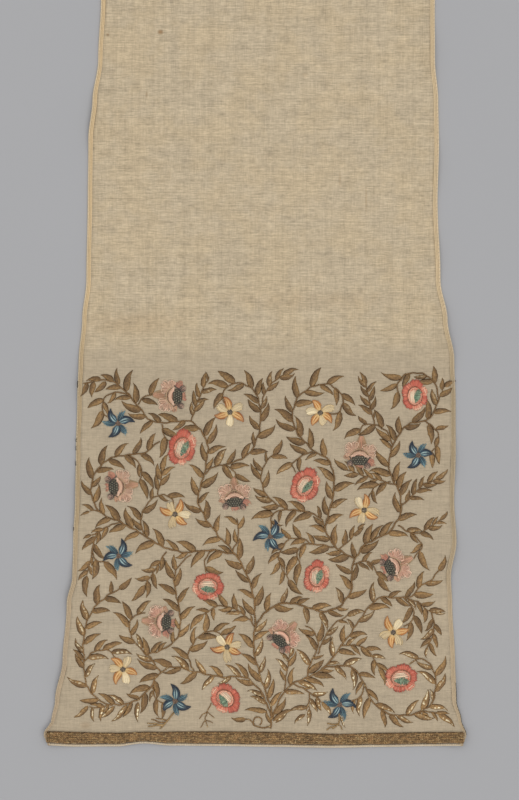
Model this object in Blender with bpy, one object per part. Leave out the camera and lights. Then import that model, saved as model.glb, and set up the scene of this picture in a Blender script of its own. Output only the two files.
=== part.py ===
"""A long embroidered sash laid flat: fine cloth, edged on all four sides, with a couched metal band at one end.

Metres, +Z up. The sash lies on the plane z = 0 with its length along Y, its banded end at -Y,
and its origin in the middle of its footprint. "Along" is the distance from the banded end, and
"across" is X.
"""

import math
from collections import namedtuple

import bmesh
import bpy

MM = 0.001

# Driving dimensions.
LENGTH = 2000 * MM
CLOTH_THICKNESS = 1.0 * MM
SEAM_GAP = 0.3 * MM
EDGING_HEIGHT = 1.6 * MM
EDGING_WIDTH_AT_BAND = 1.5 * MM
EDGING_WIDTH = 3.0 * MM
EDGING_FULL_FROM = 40 * MM  # the side edging has its full width from here on
END_EDGING_WIDTH = 2.0 * MM
END_EDGING_HEIGHT = 1.4 * MM
BAND_WIDTH = 9.4 * MM
BAND_BASE_HEIGHT = 0.7 * MM
BAND_CORDS = 5  # rows of couched cord in the band
BAND_CORD_RELIEF = 0.35 * MM
FAR_HEM_WIDTH = 5.0 * MM
FAR_HEM_HEIGHT = 1.8 * MM

# How finely the cloth is divided.
COLUMNS = 24
DETAILED_LENGTH = 540 * MM  # the stretch with the closest folds
DETAILED_STEP = 13 * MM
PLAIN_STEP = 40 * MM

# The sash's outer edges, in mm: how far along, and where the left and right edges are across.
Outline = namedtuple("Outline", "along left right")
OUTLINE = [
    Outline(0, -149.0, 149.5),
    Outline(9, -152.0, 152.0),
    Outline(20, -146.5, 148.5),
    Outline(34, -144.0, 145.0),
    Outline(63, -138.5, 144.0),
    Outline(104, -135.5, 142.0),
    Outline(123, -131.5, 141.0),
    Outline(149, -131.0, 145.0),
    Outline(178, -129.5, 143.5),
    Outline(215, -129.0, 144.5),
    Outline(250, -128.0, 144.5),
    Outline(279, -127.0, 143.5),
    Outline(308, -124.5, 138.5),
    Outline(337, -121.5, 133.5),
    Outline(394, -120.5, 131.5),
    Outline(437, -120.0, 132.5),
    Outline(466, -117.0, 132.0),
    Outline(495, -113.0, 129.5),
    Outline(538, -111.0, 129.5),
    Outline(680, -113.0, 126.0),
    Outline(840, -117.0, 121.0),
    Outline(1010, -114.5, 123.5),
    Outline(1180, -119.0, 118.0),
    Outline(1370, -116.0, 121.5),
    Outline(1560, -120.5, 119.0),
    Outline(1760, -118.0, 122.0),
    Outline(1900, -121.5, 120.0),
    Outline(2000, -122.5, 122.5),
]

# The banded end isn't straight. In mm: where across, and how far that place is moved along.
HemWave = namedtuple("HemWave", "across rise")
HEM_WAVES = [
    HemWave(-152, 2.0),
    HemWave(-128, 0.7),
    HemWave(-100, 0.9),
    HemWave(-80, 3.2),
    HemWave(-60, 1.5),
    HemWave(-30, 1.2),
    HemWave(10, 0.6),
    HemWave(55, 0.0),
    HemWave(95, 0.5),
    HemWave(125, 1.0),
    HemWave(152, 1.6),
]
HEM_WAVE_REACH = 32 * MM  # the cloth lies straight again this far from the end

# Folds and ripples that stand off the surface, in mm. Each is a soft hump, and its long half
# lies across the sash when its turn is 0 degrees, and along the sash when it is 90.
Fold = namedtuple("Fold", "along across turn half_length half_width height")
FOLDS = [
    Fold(5, -150, 35, 30, 17, 2.6),
    Fold(3, 151, -40, 30, 17, 3.0),
    Fold(10, -80, 0, 34, 20, 1.6),
    Fold(8, 48, 0, 46, 18, 1.1),
    Fold(52, -141, 78, 30, 13, 2.2),
    Fold(113, -133, 75, 30, 13, 2.6),
    Fold(178, -130, 90, 34, 10, 1.5),
    Fold(262, -127, 85, 30, 11, 1.6),
    Fold(44, 144, 95, 32, 12, 1.8),
    Fold(135, 143, 98, 34, 13, 2.2),
    Fold(205, 144, 90, 26, 10, 1.4),
    Fold(300, 140, 100, 36, 15, 2.6),
    Fold(352, 133, 90, 26, 10, 1.4),
    Fold(452, -119, 80, 30, 12, 2.4),
    Fold(418, 132, 92, 28, 11, 1.5),
    Fold(498, 129, 90, 30, 12, 1.8),
    Fold(90, -40, 20, 46, 19, 0.9),
    Fold(170, 62, -25, 48, 19, 1.0),
    Fold(232, -52, 10, 52, 18, 0.9),
    Fold(306, -70, 3, 66, 17, 1.3),
    Fold(330, 55, -4, 60, 15, 0.8),
    Fold(420, 20, 2, 92, 16, 1.2),
    Fold(470, -50, -5, 56, 16, 0.8),
    Fold(590, 128, 88, 46, 16, 2.2),
    Fold(640, -112, 92, 52, 15, 2.4),
    Fold(705, 10, 2, 108, 42, 2.6),
    Fold(820, 121, 90, 56, 16, 2.0),
    Fold(905, -114, 88, 60, 17, 2.6),
    Fold(1020, -30, -6, 80, 46, 2.0),
    Fold(1060, 121, 92, 58, 17, 2.6),
    Fold(1165, 30, 4, 84, 44, 2.4),
    Fold(1240, -117, 90, 62, 18, 2.2),
    Fold(1380, 119, 86, 58, 18, 2.2),
    Fold(1430, -20, -3, 96, 46, 2.8),
    Fold(1590, -119, 90, 60, 18, 2.4),
    Fold(1650, 120, 92, 60, 16, 2.0),
    Fold(1745, 25, 5, 88, 44, 2.2),
    Fold(1880, -119, 94, 54, 16, 2.0),
    Fold(1900, 119, 88, 52, 16, 2.2),
    Fold(1978, -118, -30, 34, 24, 2.2),
]

Finish = namedtuple("Finish", "red green blue roughness metallic")
GROUND_CLOTH = Finish(0.49, 0.41, 0.27, 0.9, 0.0)
SELVEDGE_SILK = Finish(0.60, 0.45, 0.26, 0.7, 0.0)
CREAM_SILK = Finish(0.66, 0.56, 0.40, 0.7, 0.0)
METAL_THREAD = Finish(0.23, 0.15, 0.07, 0.45, 0.6)


def eased(table, key, value, at):
    """A table's value column at one place of its key column, with level tangents at each row."""
    at = at / MM
    if at <= getattr(table[0], key):
        return getattr(table[0], value) * MM
    for low, high in zip(table, table[1:]):
        start = getattr(low, key)
        end = getattr(high, key)
        if at <= end:
            share = (at - start) / (end - start)
            share = share * share * (3 - 2 * share)
            return (getattr(low, value) * (1 - share) + getattr(high, value) * share) * MM
    return getattr(table[-1], value) * MM


def edging_width(along):
    """How wide the side edging is: narrow beside the band, and full further up."""
    share = min(1.0, along / EDGING_FULL_FROM)
    return EDGING_WIDTH_AT_BAND + (EDGING_WIDTH - EDGING_WIDTH_AT_BAND) * share


def outer_edges(along):
    """Where the sash's left and right outer edges are across."""
    return eased(OUTLINE, "along", "left", along), eased(OUTLINE, "along", "right", along)


def cloth_edges(along):
    """Where the cloth itself ends on the left and right, inside the side edgings."""
    left, right = outer_edges(along)
    inset = edging_width(along) + SEAM_GAP
    return left + inset, right - inset


def lift(across, along):
    """How far the underside stands off the surface at one place. It is 0 wherever no fold reaches."""
    height = 0.0
    for fold in FOLDS:
        turn = math.radians(fold.turn)
        from_x = across / MM - fold.across
        from_y = along / MM - fold.along
        lengthwise = (from_x * math.cos(turn) + from_y * math.sin(turn)) / fold.half_length
        sideways = (from_y * math.cos(turn) - from_x * math.sin(turn)) / fold.half_width
        if abs(lengthwise) < 1 and abs(sideways) < 1:
            height += fold.height * (1 - lengthwise**2) ** 2 * (1 - sideways**2) ** 2
    return height * MM


def place(across, along, above=0.0):
    """The point of the sash at one place, that far above the cloth's underside."""
    fade = max(0.0, 1 - along / HEM_WAVE_REACH) ** 2
    rise = eased(HEM_WAVES, "across", "rise", across) * fade
    return across, along + rise - LENGTH / 2, lift(across, along) + above


def divided(start, end, step):
    """Evenly spaced values from start to end, at most a step apart."""
    count = max(1, math.ceil((end - start) / step - 1e-6))
    return [start + (end - start) * i / count for i in range(count + 1)]


CLOTH_START = END_EDGING_WIDTH + SEAM_GAP
CLOTH_END = LENGTH - FAR_HEM_WIDTH - SEAM_GAP
BAND_START = CLOTH_START + SEAM_GAP
BAND_END = BAND_START + BAND_WIDTH


def cloth_stations():
    """The places along the cloth where its sections stand: close under the band, then wider apart."""
    under_band = divided(CLOTH_START, BAND_END + SEAM_GAP, BAND_WIDTH / 2 + SEAM_GAP)
    detailed = divided(under_band[-1], DETAILED_LENGTH, DETAILED_STEP)
    plain = divided(DETAILED_LENGTH, CLOTH_END, PLAIN_STEP)
    return under_band + detailed[1:] + plain[1:]


def material(name, finish):
    """A Principled material of one colour."""
    made = bpy.data.materials.new(name)
    made.use_nodes = True
    shader = made.node_tree.nodes["Principled BSDF"]
    shader.inputs["Base Color"].default_value = (finish.red, finish.green, finish.blue, 1.0)
    shader.inputs["Roughness"].default_value = finish.roughness
    shader.inputs["Metallic"].default_value = finish.metallic
    return made


def finished_object(name, bm, finish, collection):
    """An object made from a bmesh, with outward faces and its own material."""
    bmesh.ops.recalc_face_normals(bm, faces=bm.faces)
    mesh = bpy.data.meshes.new(name)
    bm.to_mesh(mesh)
    bm.free()
    mesh.materials.append(material(name, finish))
    mesh.shade_smooth()
    mesh.set_sharp_from_angle(angle=math.radians(40))
    made = bpy.data.objects.new(name, mesh)
    collection.objects.link(made)
    return made


def loft(name, rings, finish, collection):
    """A closed strip through rings of equally many points, with a cap on each end."""
    bm = bmesh.new()
    loops = [[bm.verts.new(point) for point in ring] for ring in rings]
    count = len(loops[0])
    for before, after in zip(loops, loops[1:]):
        for i in range(count):
            j = (i + 1) % count
            bm.faces.new((before[i], before[j], after[j], after[i]))
    bm.faces.new(loops[0])
    bm.faces.new(loops[-1])
    return finished_object(name, bm, finish, collection)


def rounded_section(width, height):
    """A strip's section with a flat foot and a rounded top: pairs of distance over and height."""
    return [
        (0.0, 0.0),
        (width, 0.0),
        (width, 0.55 * height),
        (0.78 * width, height),
        (0.22 * width, height),
        (0.0, 0.55 * height),
    ]


def corded_section(width, base, cords, relief):
    """The band's section: a level foot, and one raised cord beside another on top."""
    foot = [(0.0, 0.0), (width / 2, 0.0), (width, 0.0)]
    steps = 2 * cords
    top = [
        (width * (1 - i / steps), base + relief * (i % 2))
        for i in range(steps + 1)
    ]
    return foot + top


def make_cloth(collection):
    """The ground cloth: a grid laid on the folds, raised by its thickness."""
    stations = cloth_stations()
    bm = bmesh.new()
    bmesh.ops.create_grid(bm, x_segments=COLUMNS, y_segments=len(stations) - 1, size=0.5)
    for vertex in bm.verts:
        column = vertex.co.x + 0.5
        row = round((vertex.co.y + 0.5) * (len(stations) - 1))
        left, right = cloth_edges(stations[row])
        vertex.co = place(left + (right - left) * column, stations[row])
    upper = bmesh.ops.extrude_face_region(bm, geom=bm.faces[:], use_keep_orig=True)
    raised = [item for item in upper["geom"] if isinstance(item, bmesh.types.BMVert)]
    bmesh.ops.translate(bm, verts=raised, vec=(0, 0, CLOTH_THICKNESS))
    return finished_object("cloth", bm, GROUND_CLOTH, collection)


def make_side_edging(side, collection):
    """The rolled silk edging along one side, from the end edging to the far hem."""
    rings = []
    for along in cloth_stations():
        left, right = outer_edges(along)
        width = edging_width(along)
        start = left if side == "left" else right - width
        rest = lift(start + width / 2, along)
        ring = []
        for over, height in rounded_section(width, EDGING_HEIGHT):
            across, forward, _ = place(start + over, along)
            ring.append((across, forward, rest + height))
        rings.append(ring)
    return loft("edging_" + side, rings, SELVEDGE_SILK, collection)


def cross_strip(name, first, section, raised, edges, finish, collection):
    """A strip that runs across the sash, with its section's near edge at one place along."""
    left, right = edges
    rings = []
    for across in divided(left, right, (right - left) / COLUMNS):
        rings.append([place(across, first + over, raised + height) for over, height in section])
    return loft(name, rings, finish, collection)


def make_band(collection):
    """The band of couched metal cords that lies on the cloth's end."""
    edges = [cloth_edges(at) for at in (BAND_START, BAND_END)]
    narrowest = max(left for left, right in edges), min(right for left, right in edges)
    section = corded_section(BAND_WIDTH, BAND_BASE_HEIGHT, BAND_CORDS, BAND_CORD_RELIEF)
    above_cloth = CLOTH_THICKNESS + SEAM_GAP
    return cross_strip(
        "end_band", BAND_START, section, above_cloth, narrowest, METAL_THREAD, collection
    )


def make_end_edging(collection):
    """The whipped silk edge beyond the band, from one outer edge to the other."""
    section = rounded_section(END_EDGING_WIDTH, END_EDGING_HEIGHT)
    return cross_strip("end_edging", 0.0, section, 0.0, outer_edges(0.0), CREAM_SILK, collection)


def make_far_hem(collection):
    """The plain rolled hem at the other end."""
    start = LENGTH - FAR_HEM_WIDTH
    section = rounded_section(FAR_HEM_WIDTH, FAR_HEM_HEIGHT)
    return cross_strip("far_hem", start, section, 0.0, outer_edges(start), GROUND_CLOTH, collection)


def main():
    """Clears the scene and builds the sash."""
    for old in list(bpy.data.objects):
        bpy.data.objects.remove(old)
    sash = bpy.data.collections.new("sash")
    bpy.context.scene.collection.children.link(sash)
    make_cloth(sash)
    for side in ("left", "right"):
        make_side_edging(side, sash)
    make_band(sash)
    make_end_edging(sash)
    make_far_hem(sash)


main()
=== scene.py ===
"""Dresses a long embroidered sash, laid flat, in cloth, silk and metal thread.

Metres, +Z up. The sash lies on the plane z = 0 with its length along Y and its banded end at -Y.
"Along" is the distance from the banded end, "across" is X, and every table is in millimetres.
"""

import logging
import math
import random
from collections.abc import Callable, Iterable, Sequence
from dataclasses import dataclass, field
from enum import Enum
from typing import Any, NamedTuple

import bmesh
import bpy
import numpy as np
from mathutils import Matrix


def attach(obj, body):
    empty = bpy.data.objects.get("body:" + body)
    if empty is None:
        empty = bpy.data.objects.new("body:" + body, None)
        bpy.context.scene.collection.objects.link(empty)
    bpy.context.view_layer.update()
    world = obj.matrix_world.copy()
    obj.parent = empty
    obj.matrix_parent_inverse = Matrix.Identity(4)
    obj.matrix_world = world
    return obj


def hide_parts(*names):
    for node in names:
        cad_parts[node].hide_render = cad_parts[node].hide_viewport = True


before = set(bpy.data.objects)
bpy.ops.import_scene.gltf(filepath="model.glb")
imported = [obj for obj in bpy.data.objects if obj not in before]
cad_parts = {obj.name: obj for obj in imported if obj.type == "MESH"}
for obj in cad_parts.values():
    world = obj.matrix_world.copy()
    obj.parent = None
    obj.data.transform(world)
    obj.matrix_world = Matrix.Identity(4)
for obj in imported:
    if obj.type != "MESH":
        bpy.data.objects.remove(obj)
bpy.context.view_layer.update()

log = logging.getLogger("sash")

Colour = tuple[float, float, float]
Point = tuple[float, float]
Array = np.ndarray

MM = 0.001
LENGTH = 2000 * MM
CLOTH_THICKNESS = 1.0 * MM
SEAM_GAP = 0.3 * MM
EDGING_WIDTH_AT_BAND = 1.5 * MM
EDGING_WIDTH = 3.0 * MM
EDGING_HEIGHT = 1.6 * MM
EDGING_FULL_FROM = 40 * MM
END_EDGING_WIDTH = 2.0 * MM
END_EDGING_HEIGHT = 1.4 * MM
BAND_WIDTH = 9.4 * MM
FAR_HEM_WIDTH = 5.0 * MM
FAR_HEM_HEIGHT = 1.8 * MM
HEM_WAVE_REACH = 32 * MM
CLOTH_START = END_EDGING_WIDTH + SEAM_GAP
CLOTH_END = LENGTH - FAR_HEM_WIDTH - SEAM_GAP
BAND_START = CLOTH_START + SEAM_GAP
EMBROIDERED_LENGTH = 285 * MM


class Side(Enum):
    """A side of the sash, or of a stem as it grows."""

    LEFT = 1
    RIGHT = -1


class Ending(Enum):
    """What a stem runs out into."""

    LEAF = "leaf"
    FLOWER = "flower"
    SPRIG = "sprig"
    BARE = "bare"


class Outline(NamedTuple):
    """Where the sash's left and right outer edges are across, at one place along."""

    along: float
    left: float
    right: float


OUTLINE = [
    Outline(0, -149.0, 149.5),
    Outline(9, -152.0, 152.0),
    Outline(20, -146.5, 148.5),
    Outline(34, -144.0, 145.0),
    Outline(63, -138.5, 144.0),
    Outline(104, -135.5, 142.0),
    Outline(123, -131.5, 141.0),
    Outline(149, -131.0, 145.0),
    Outline(178, -129.5, 143.5),
    Outline(215, -129.0, 144.5),
    Outline(250, -128.0, 144.5),
    Outline(279, -127.0, 143.5),
    Outline(308, -124.5, 138.5),
    Outline(337, -121.5, 133.5),
    Outline(394, -120.5, 131.5),
    Outline(437, -120.0, 132.5),
    Outline(466, -117.0, 132.0),
    Outline(495, -113.0, 129.5),
    Outline(538, -111.0, 129.5),
    Outline(680, -113.0, 126.0),
    Outline(840, -117.0, 121.0),
    Outline(1010, -114.5, 123.5),
    Outline(1180, -119.0, 118.0),
    Outline(1370, -116.0, 121.5),
    Outline(1560, -120.5, 119.0),
    Outline(1760, -118.0, 122.0),
    Outline(1900, -121.5, 120.0),
    Outline(2000, -122.5, 122.5),
]


class HemWave(NamedTuple):
    """How far the banded end is moved along, at one place across."""

    across: float
    rise: float


HEM_WAVES = [
    HemWave(-152, 2.0),
    HemWave(-128, 0.7),
    HemWave(-100, 0.9),
    HemWave(-80, 3.2),
    HemWave(-60, 1.5),
    HemWave(-30, 1.2),
    HemWave(10, 0.6),
    HemWave(55, 0.0),
    HemWave(95, 0.5),
    HemWave(125, 1.0),
    HemWave(152, 1.6),
]


class Fold(NamedTuple):
    """A soft hump under the cloth. Its long half lies across the sash at a turn of 0 degrees."""

    along: float
    across: float
    turn: float
    half_length: float
    half_width: float
    height: float


FOLDS = [
    Fold(5, -150, 35, 30, 17, 2.6),
    Fold(3, 151, -40, 30, 17, 3.0),
    Fold(10, -80, 0, 34, 20, 1.6),
    Fold(8, 48, 0, 46, 18, 1.1),
    Fold(52, -141, 78, 30, 13, 2.2),
    Fold(113, -133, 75, 30, 13, 2.6),
    Fold(178, -130, 90, 34, 10, 1.5),
    Fold(262, -127, 85, 30, 11, 1.6),
    Fold(44, 144, 95, 32, 12, 1.8),
    Fold(135, 143, 98, 34, 13, 2.2),
    Fold(205, 144, 90, 26, 10, 1.4),
    Fold(300, 140, 100, 36, 15, 2.6),
    Fold(352, 133, 90, 26, 10, 1.4),
    Fold(452, -119, 80, 30, 12, 2.4),
    Fold(418, 132, 92, 28, 11, 1.5),
    Fold(498, 129, 90, 30, 12, 1.8),
    Fold(90, -40, 20, 46, 19, 0.9),
    Fold(170, 62, -25, 48, 19, 1.0),
    Fold(232, -52, 10, 52, 18, 0.9),
    Fold(306, -70, 3, 66, 17, 1.3),
    Fold(330, 55, -4, 60, 15, 0.8),
    Fold(420, 20, 2, 92, 16, 1.2),
    Fold(470, -50, -5, 56, 16, 0.8),
    Fold(590, 128, 88, 46, 16, 2.2),
    Fold(640, -112, 92, 52, 15, 2.4),
    Fold(705, 10, 2, 108, 42, 2.6),
    Fold(820, 121, 90, 56, 16, 2.0),
    Fold(905, -114, 88, 60, 17, 2.6),
    Fold(1020, -30, -6, 80, 46, 2.0),
    Fold(1060, 121, 92, 58, 17, 2.6),
    Fold(1165, 30, 4, 84, 44, 2.4),
    Fold(1240, -117, 90, 62, 18, 2.2),
    Fold(1380, 119, 86, 58, 18, 2.2),
    Fold(1430, -20, -3, 96, 46, 2.8),
    Fold(1590, -119, 90, 60, 18, 2.4),
    Fold(1650, 120, 92, 60, 16, 2.0),
    Fold(1745, 25, 5, 88, 44, 2.2),
    Fold(1880, -119, 94, 54, 16, 2.0),
    Fold(1900, 119, 88, 52, 16, 2.2),
    Fold(1978, -118, -30, 34, 24, 2.2),
]

# Creases in the cloth's upper face, laid out as folds are. A trough has a height below nothing.
CREASES = [
    Fold(318, -78, 1, 52, 5, -0.45),
    Fold(327, -64, 2, 66, 6, 0.35),
    Fold(346, 60, -3, 58, 5, 0.30),
    Fold(374, -20, 84, 40, 5, 0.28),
    Fold(392, 78, -2, 50, 6, -0.30),
    Fold(408, -92, 4, 30, 5, 0.35),
    Fold(442, 48, 1, 74, 6, -0.32),
    Fold(455, 95, 88, 34, 5, 0.30),
    Fold(481, -30, 2, 78, 6, 0.34),
    Fold(512, 66, -4, 58, 6, 0.30),
    Fold(526, -60, 3, 48, 5, -0.30),
    Fold(610, -20, 3, 90, 7, 0.45),
    Fold(668, 50, -2, 70, 7, -0.45),
    Fold(760, -40, 1, 74, 8, 0.50),
    Fold(868, 30, 4, 84, 8, -0.45),
    Fold(960, -10, -3, 100, 8, 0.50),
    Fold(1090, 40, 2, 72, 8, 0.45),
    Fold(1210, -30, -2, 82, 8, -0.50),
    Fold(1310, 10, 3, 100, 8, 0.50),
    Fold(1500, -36, 1, 76, 8, 0.45),
    Fold(1570, 44, -4, 66, 8, -0.45),
    Fold(1690, -14, 2, 98, 8, 0.50),
    Fold(1820, 28, -3, 80, 8, 0.45),
    Fold(1940, -40, 4, 70, 8, -0.40),
]


def tint(red: int, green: int, blue: int) -> Colour:
    """The linear colour of one seen on a screen.

    Args:
        red: The screen's red, from 0 to 255.
        green: The screen's green, from 0 to 255.
        blue: The screen's blue, from 0 to 255.

    Returns:
        The same colour as linear red, green and blue.
    """
    return tuple(((part / 255 + 0.055) / 1.055) ** 2.4 for part in (red, green, blue))


def between(first: Colour, second: Colour, share: float) -> Colour:
    """A colour that share of the way from the first to the second."""
    return tuple(a + (b - a) * share for a, b in zip(first, second))


def divided(start: float, end: float, step: float) -> list[float]:
    """Evenly spaced values from start to end, at most a step apart."""
    count = max(1, math.ceil((end - start) / step - 1e-6))
    return [start + (end - start) * i / count for i in range(count + 1)]


def smooth_route(points: Sequence[Point], step: float) -> Array:
    """A smooth line through a route's points.

    Args:
        points: The route's points in millimetres, across and along.
        step: How far apart the line's own points are, in millimetres.

    Returns:
        The line's points as rows of across and along, in millimetres.
    """
    knots = np.array(points, float)
    gaps = np.linalg.norm(np.diff(knots, axis=0), axis=1)
    at = np.concatenate([[0.0], np.cumsum(gaps)])
    tangents = np.gradient(knots, at, axis=0, edge_order=1)
    line = [knots[0]]
    for i, gap in enumerate(gaps):
        count = max(2, round(gap / step))
        for j in range(1, count + 1):
            t = j / count
            h10 = t * (1 - t) ** 2
            h11 = t * t * (t - 1)
            h01 = t * t * (3 - 2 * t)
            start = knots[i] * (1 - h01) + knots[i + 1] * h01
            line.append(start + gap * (h10 * tangents[i] + h11 * tangents[i + 1]))
    return np.array(line)


@dataclass
class SashForm:
    """The lie of the sash: where its edges run, and how high its cloth stands.

    Heights and places are worked out for whole arrays of points at once.
    """

    ripple_count: int = 14
    ripple_height: float = 0.05 * MM
    pucker_height: float = 0.05 * MM
    seed: int = 11
    ripples: list[tuple[float, float, float, float, bool]] = field(default_factory=list)

    def __post_init__(self) -> None:
        """Draws the soft waves that cover the upper face."""
        draw = random.Random(self.seed)
        for i in range(2 * self.ripple_count):
            pucker = i >= self.ripple_count
            length = draw.uniform(9, 17) if pucker else draw.uniform(30, 95)
            heading = draw.uniform(0, math.pi)
            turns = 2 * math.pi / (length * MM)
            phase = draw.uniform(0, 2 * math.pi)
            wave = (turns * math.cos(heading), turns * math.sin(heading), phase)
            self.ripples.append((*wave, draw.uniform(0.5, 1.0), pucker))

    @staticmethod
    def eased(rows: Sequence[NamedTuple], key: str, value: str, at: Array) -> Array:
        """A table's value column at places of its key column, level at each row.

        Args:
            rows: The table, in the order of its key column.
            key: The name of the key column.
            value: The name of the value column.
            at: The places, in metres.

        Returns:
            The values at those places, in metres.
        """
        keys = np.array([getattr(row, key) for row in rows]) * MM
        values = np.array([getattr(row, value) for row in rows]) * MM
        at = np.clip(at, keys[0], keys[-1])
        i = np.clip(np.searchsorted(keys, at, side="right") - 1, 0, len(keys) - 2)
        share = (at - keys[i]) / (keys[i + 1] - keys[i])
        share = share * share * (3 - 2 * share)
        return values[i] * (1 - share) + values[i + 1] * share

    @staticmethod
    def humps(rows: Iterable[Fold], across: Array, along: Array) -> Array:
        """How high a table of folds or creases stands at each place."""
        height = np.zeros(np.broadcast(across, along).shape)
        for fold in rows:
            turn = math.radians(fold.turn)
            from_x = across / MM - fold.across
            from_y = along / MM - fold.along
            far = (from_x * math.cos(turn) + from_y * math.sin(turn)) / fold.half_length
            wide = (from_y * math.cos(turn) - from_x * math.sin(turn)) / fold.half_width
            inside = (np.abs(far) < 1) & (np.abs(wide) < 1)
            height += np.where(inside, fold.height * (1 - far**2) ** 2 * (1 - wide**2) ** 2, 0)
        return height * MM

    def edging_width(self, along: Array) -> Array:
        """How wide the side edging is: narrow beside the band, and full further up."""
        share = np.minimum(1.0, along / EDGING_FULL_FROM)
        return EDGING_WIDTH_AT_BAND + (EDGING_WIDTH - EDGING_WIDTH_AT_BAND) * share

    def outer_edge(self, side: Side, along: Array) -> Array:
        """Where a side's outer edge is across."""
        return self.eased(OUTLINE, "along", side.name.lower(), along)

    def outer_edges(self, along: Array) -> tuple[Array, Array]:
        """Where the sash's left and right outer edges are across."""
        return self.outer_edge(Side.LEFT, along), self.outer_edge(Side.RIGHT, along)

    def cloth_edges(self, along: Array) -> tuple[Array, Array]:
        """Where the cloth ends on the left and right, inside the side edgings."""
        left, right = self.outer_edges(along)
        inset = self.edging_width(along) + SEAM_GAP
        return left + inset, right - inset

    def lift(self, across: Array, along: Array) -> Array:
        """How far the underside stands off the surface. It is 0 where no fold reaches."""
        return self.humps(FOLDS, across, along)

    def relief(self, across: Array, along: Array) -> Array:
        """The upper face's own creases, ripples and the puckers round the needlework."""
        total = self.humps(CREASES, across, along)
        sewn = np.clip((EMBROIDERED_LENGTH - along) / (30 * MM), 0, 1)
        for turn_x, turn_y, phase, share, pucker in self.ripples:
            wave = np.sin(across * turn_x + along * turn_y + phase) * share
            total += wave * (self.pucker_height * sewn if pucker else self.ripple_height)
        return total

    def rise(self, across: Array, along: Array) -> Array:
        """How far the uneven banded end moves a place along."""
        fade = np.maximum(0.0, 1 - along / HEM_WAVE_REACH) ** 2
        return self.eased(HEM_WAVES, "across", "rise", across) * fade

    def forward(self, across: Array, along: Array) -> Array:
        """The Y of a place on the sash."""
        return along + self.rise(across, along) - LENGTH / 2

    def along_at(self, across: Array, forward: Array) -> Array:
        """How far along the place lies that has that X and Y."""
        seen = forward + LENGTH / 2
        along = seen
        for _ in range(4):
            along = seen - self.rise(across, along)
        return along

    def top(self, across: Array, along: Array) -> Array:
        """The height of the cloth's upper face."""
        return self.lift(across, along) + CLOTH_THICKNESS + self.relief(across, along)

    def edging_rest(self, side: Side, along: Array) -> Array:
        """The height on which a side edging rests, taken at its middle."""
        middle = self.outer_edge(side, along) + side.value * self.edging_width(along) / 2
        return self.lift(middle, along)

    def drape(self, mesh: bpy.types.Mesh, height: Callable[[Array, Array], Array]) -> None:
        """Raises a mesh that was made flat onto the sash.

        Args:
            mesh: The mesh, whose points have their final X and Y.
            height: Gives the height to add at places across and along.
        """
        points = np.empty(len(mesh.vertices) * 3)
        mesh.vertices.foreach_get("co", points)
        points = points.reshape(-1, 3)
        along = self.along_at(points[:, 0], points[:, 1])
        points[:, 2] += height(points[:, 0], along)
        mesh.vertices.foreach_set("co", points.ravel())
        mesh.update()


FORM = SashForm()


# ---------------------------------------------------------------- node trees


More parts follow.
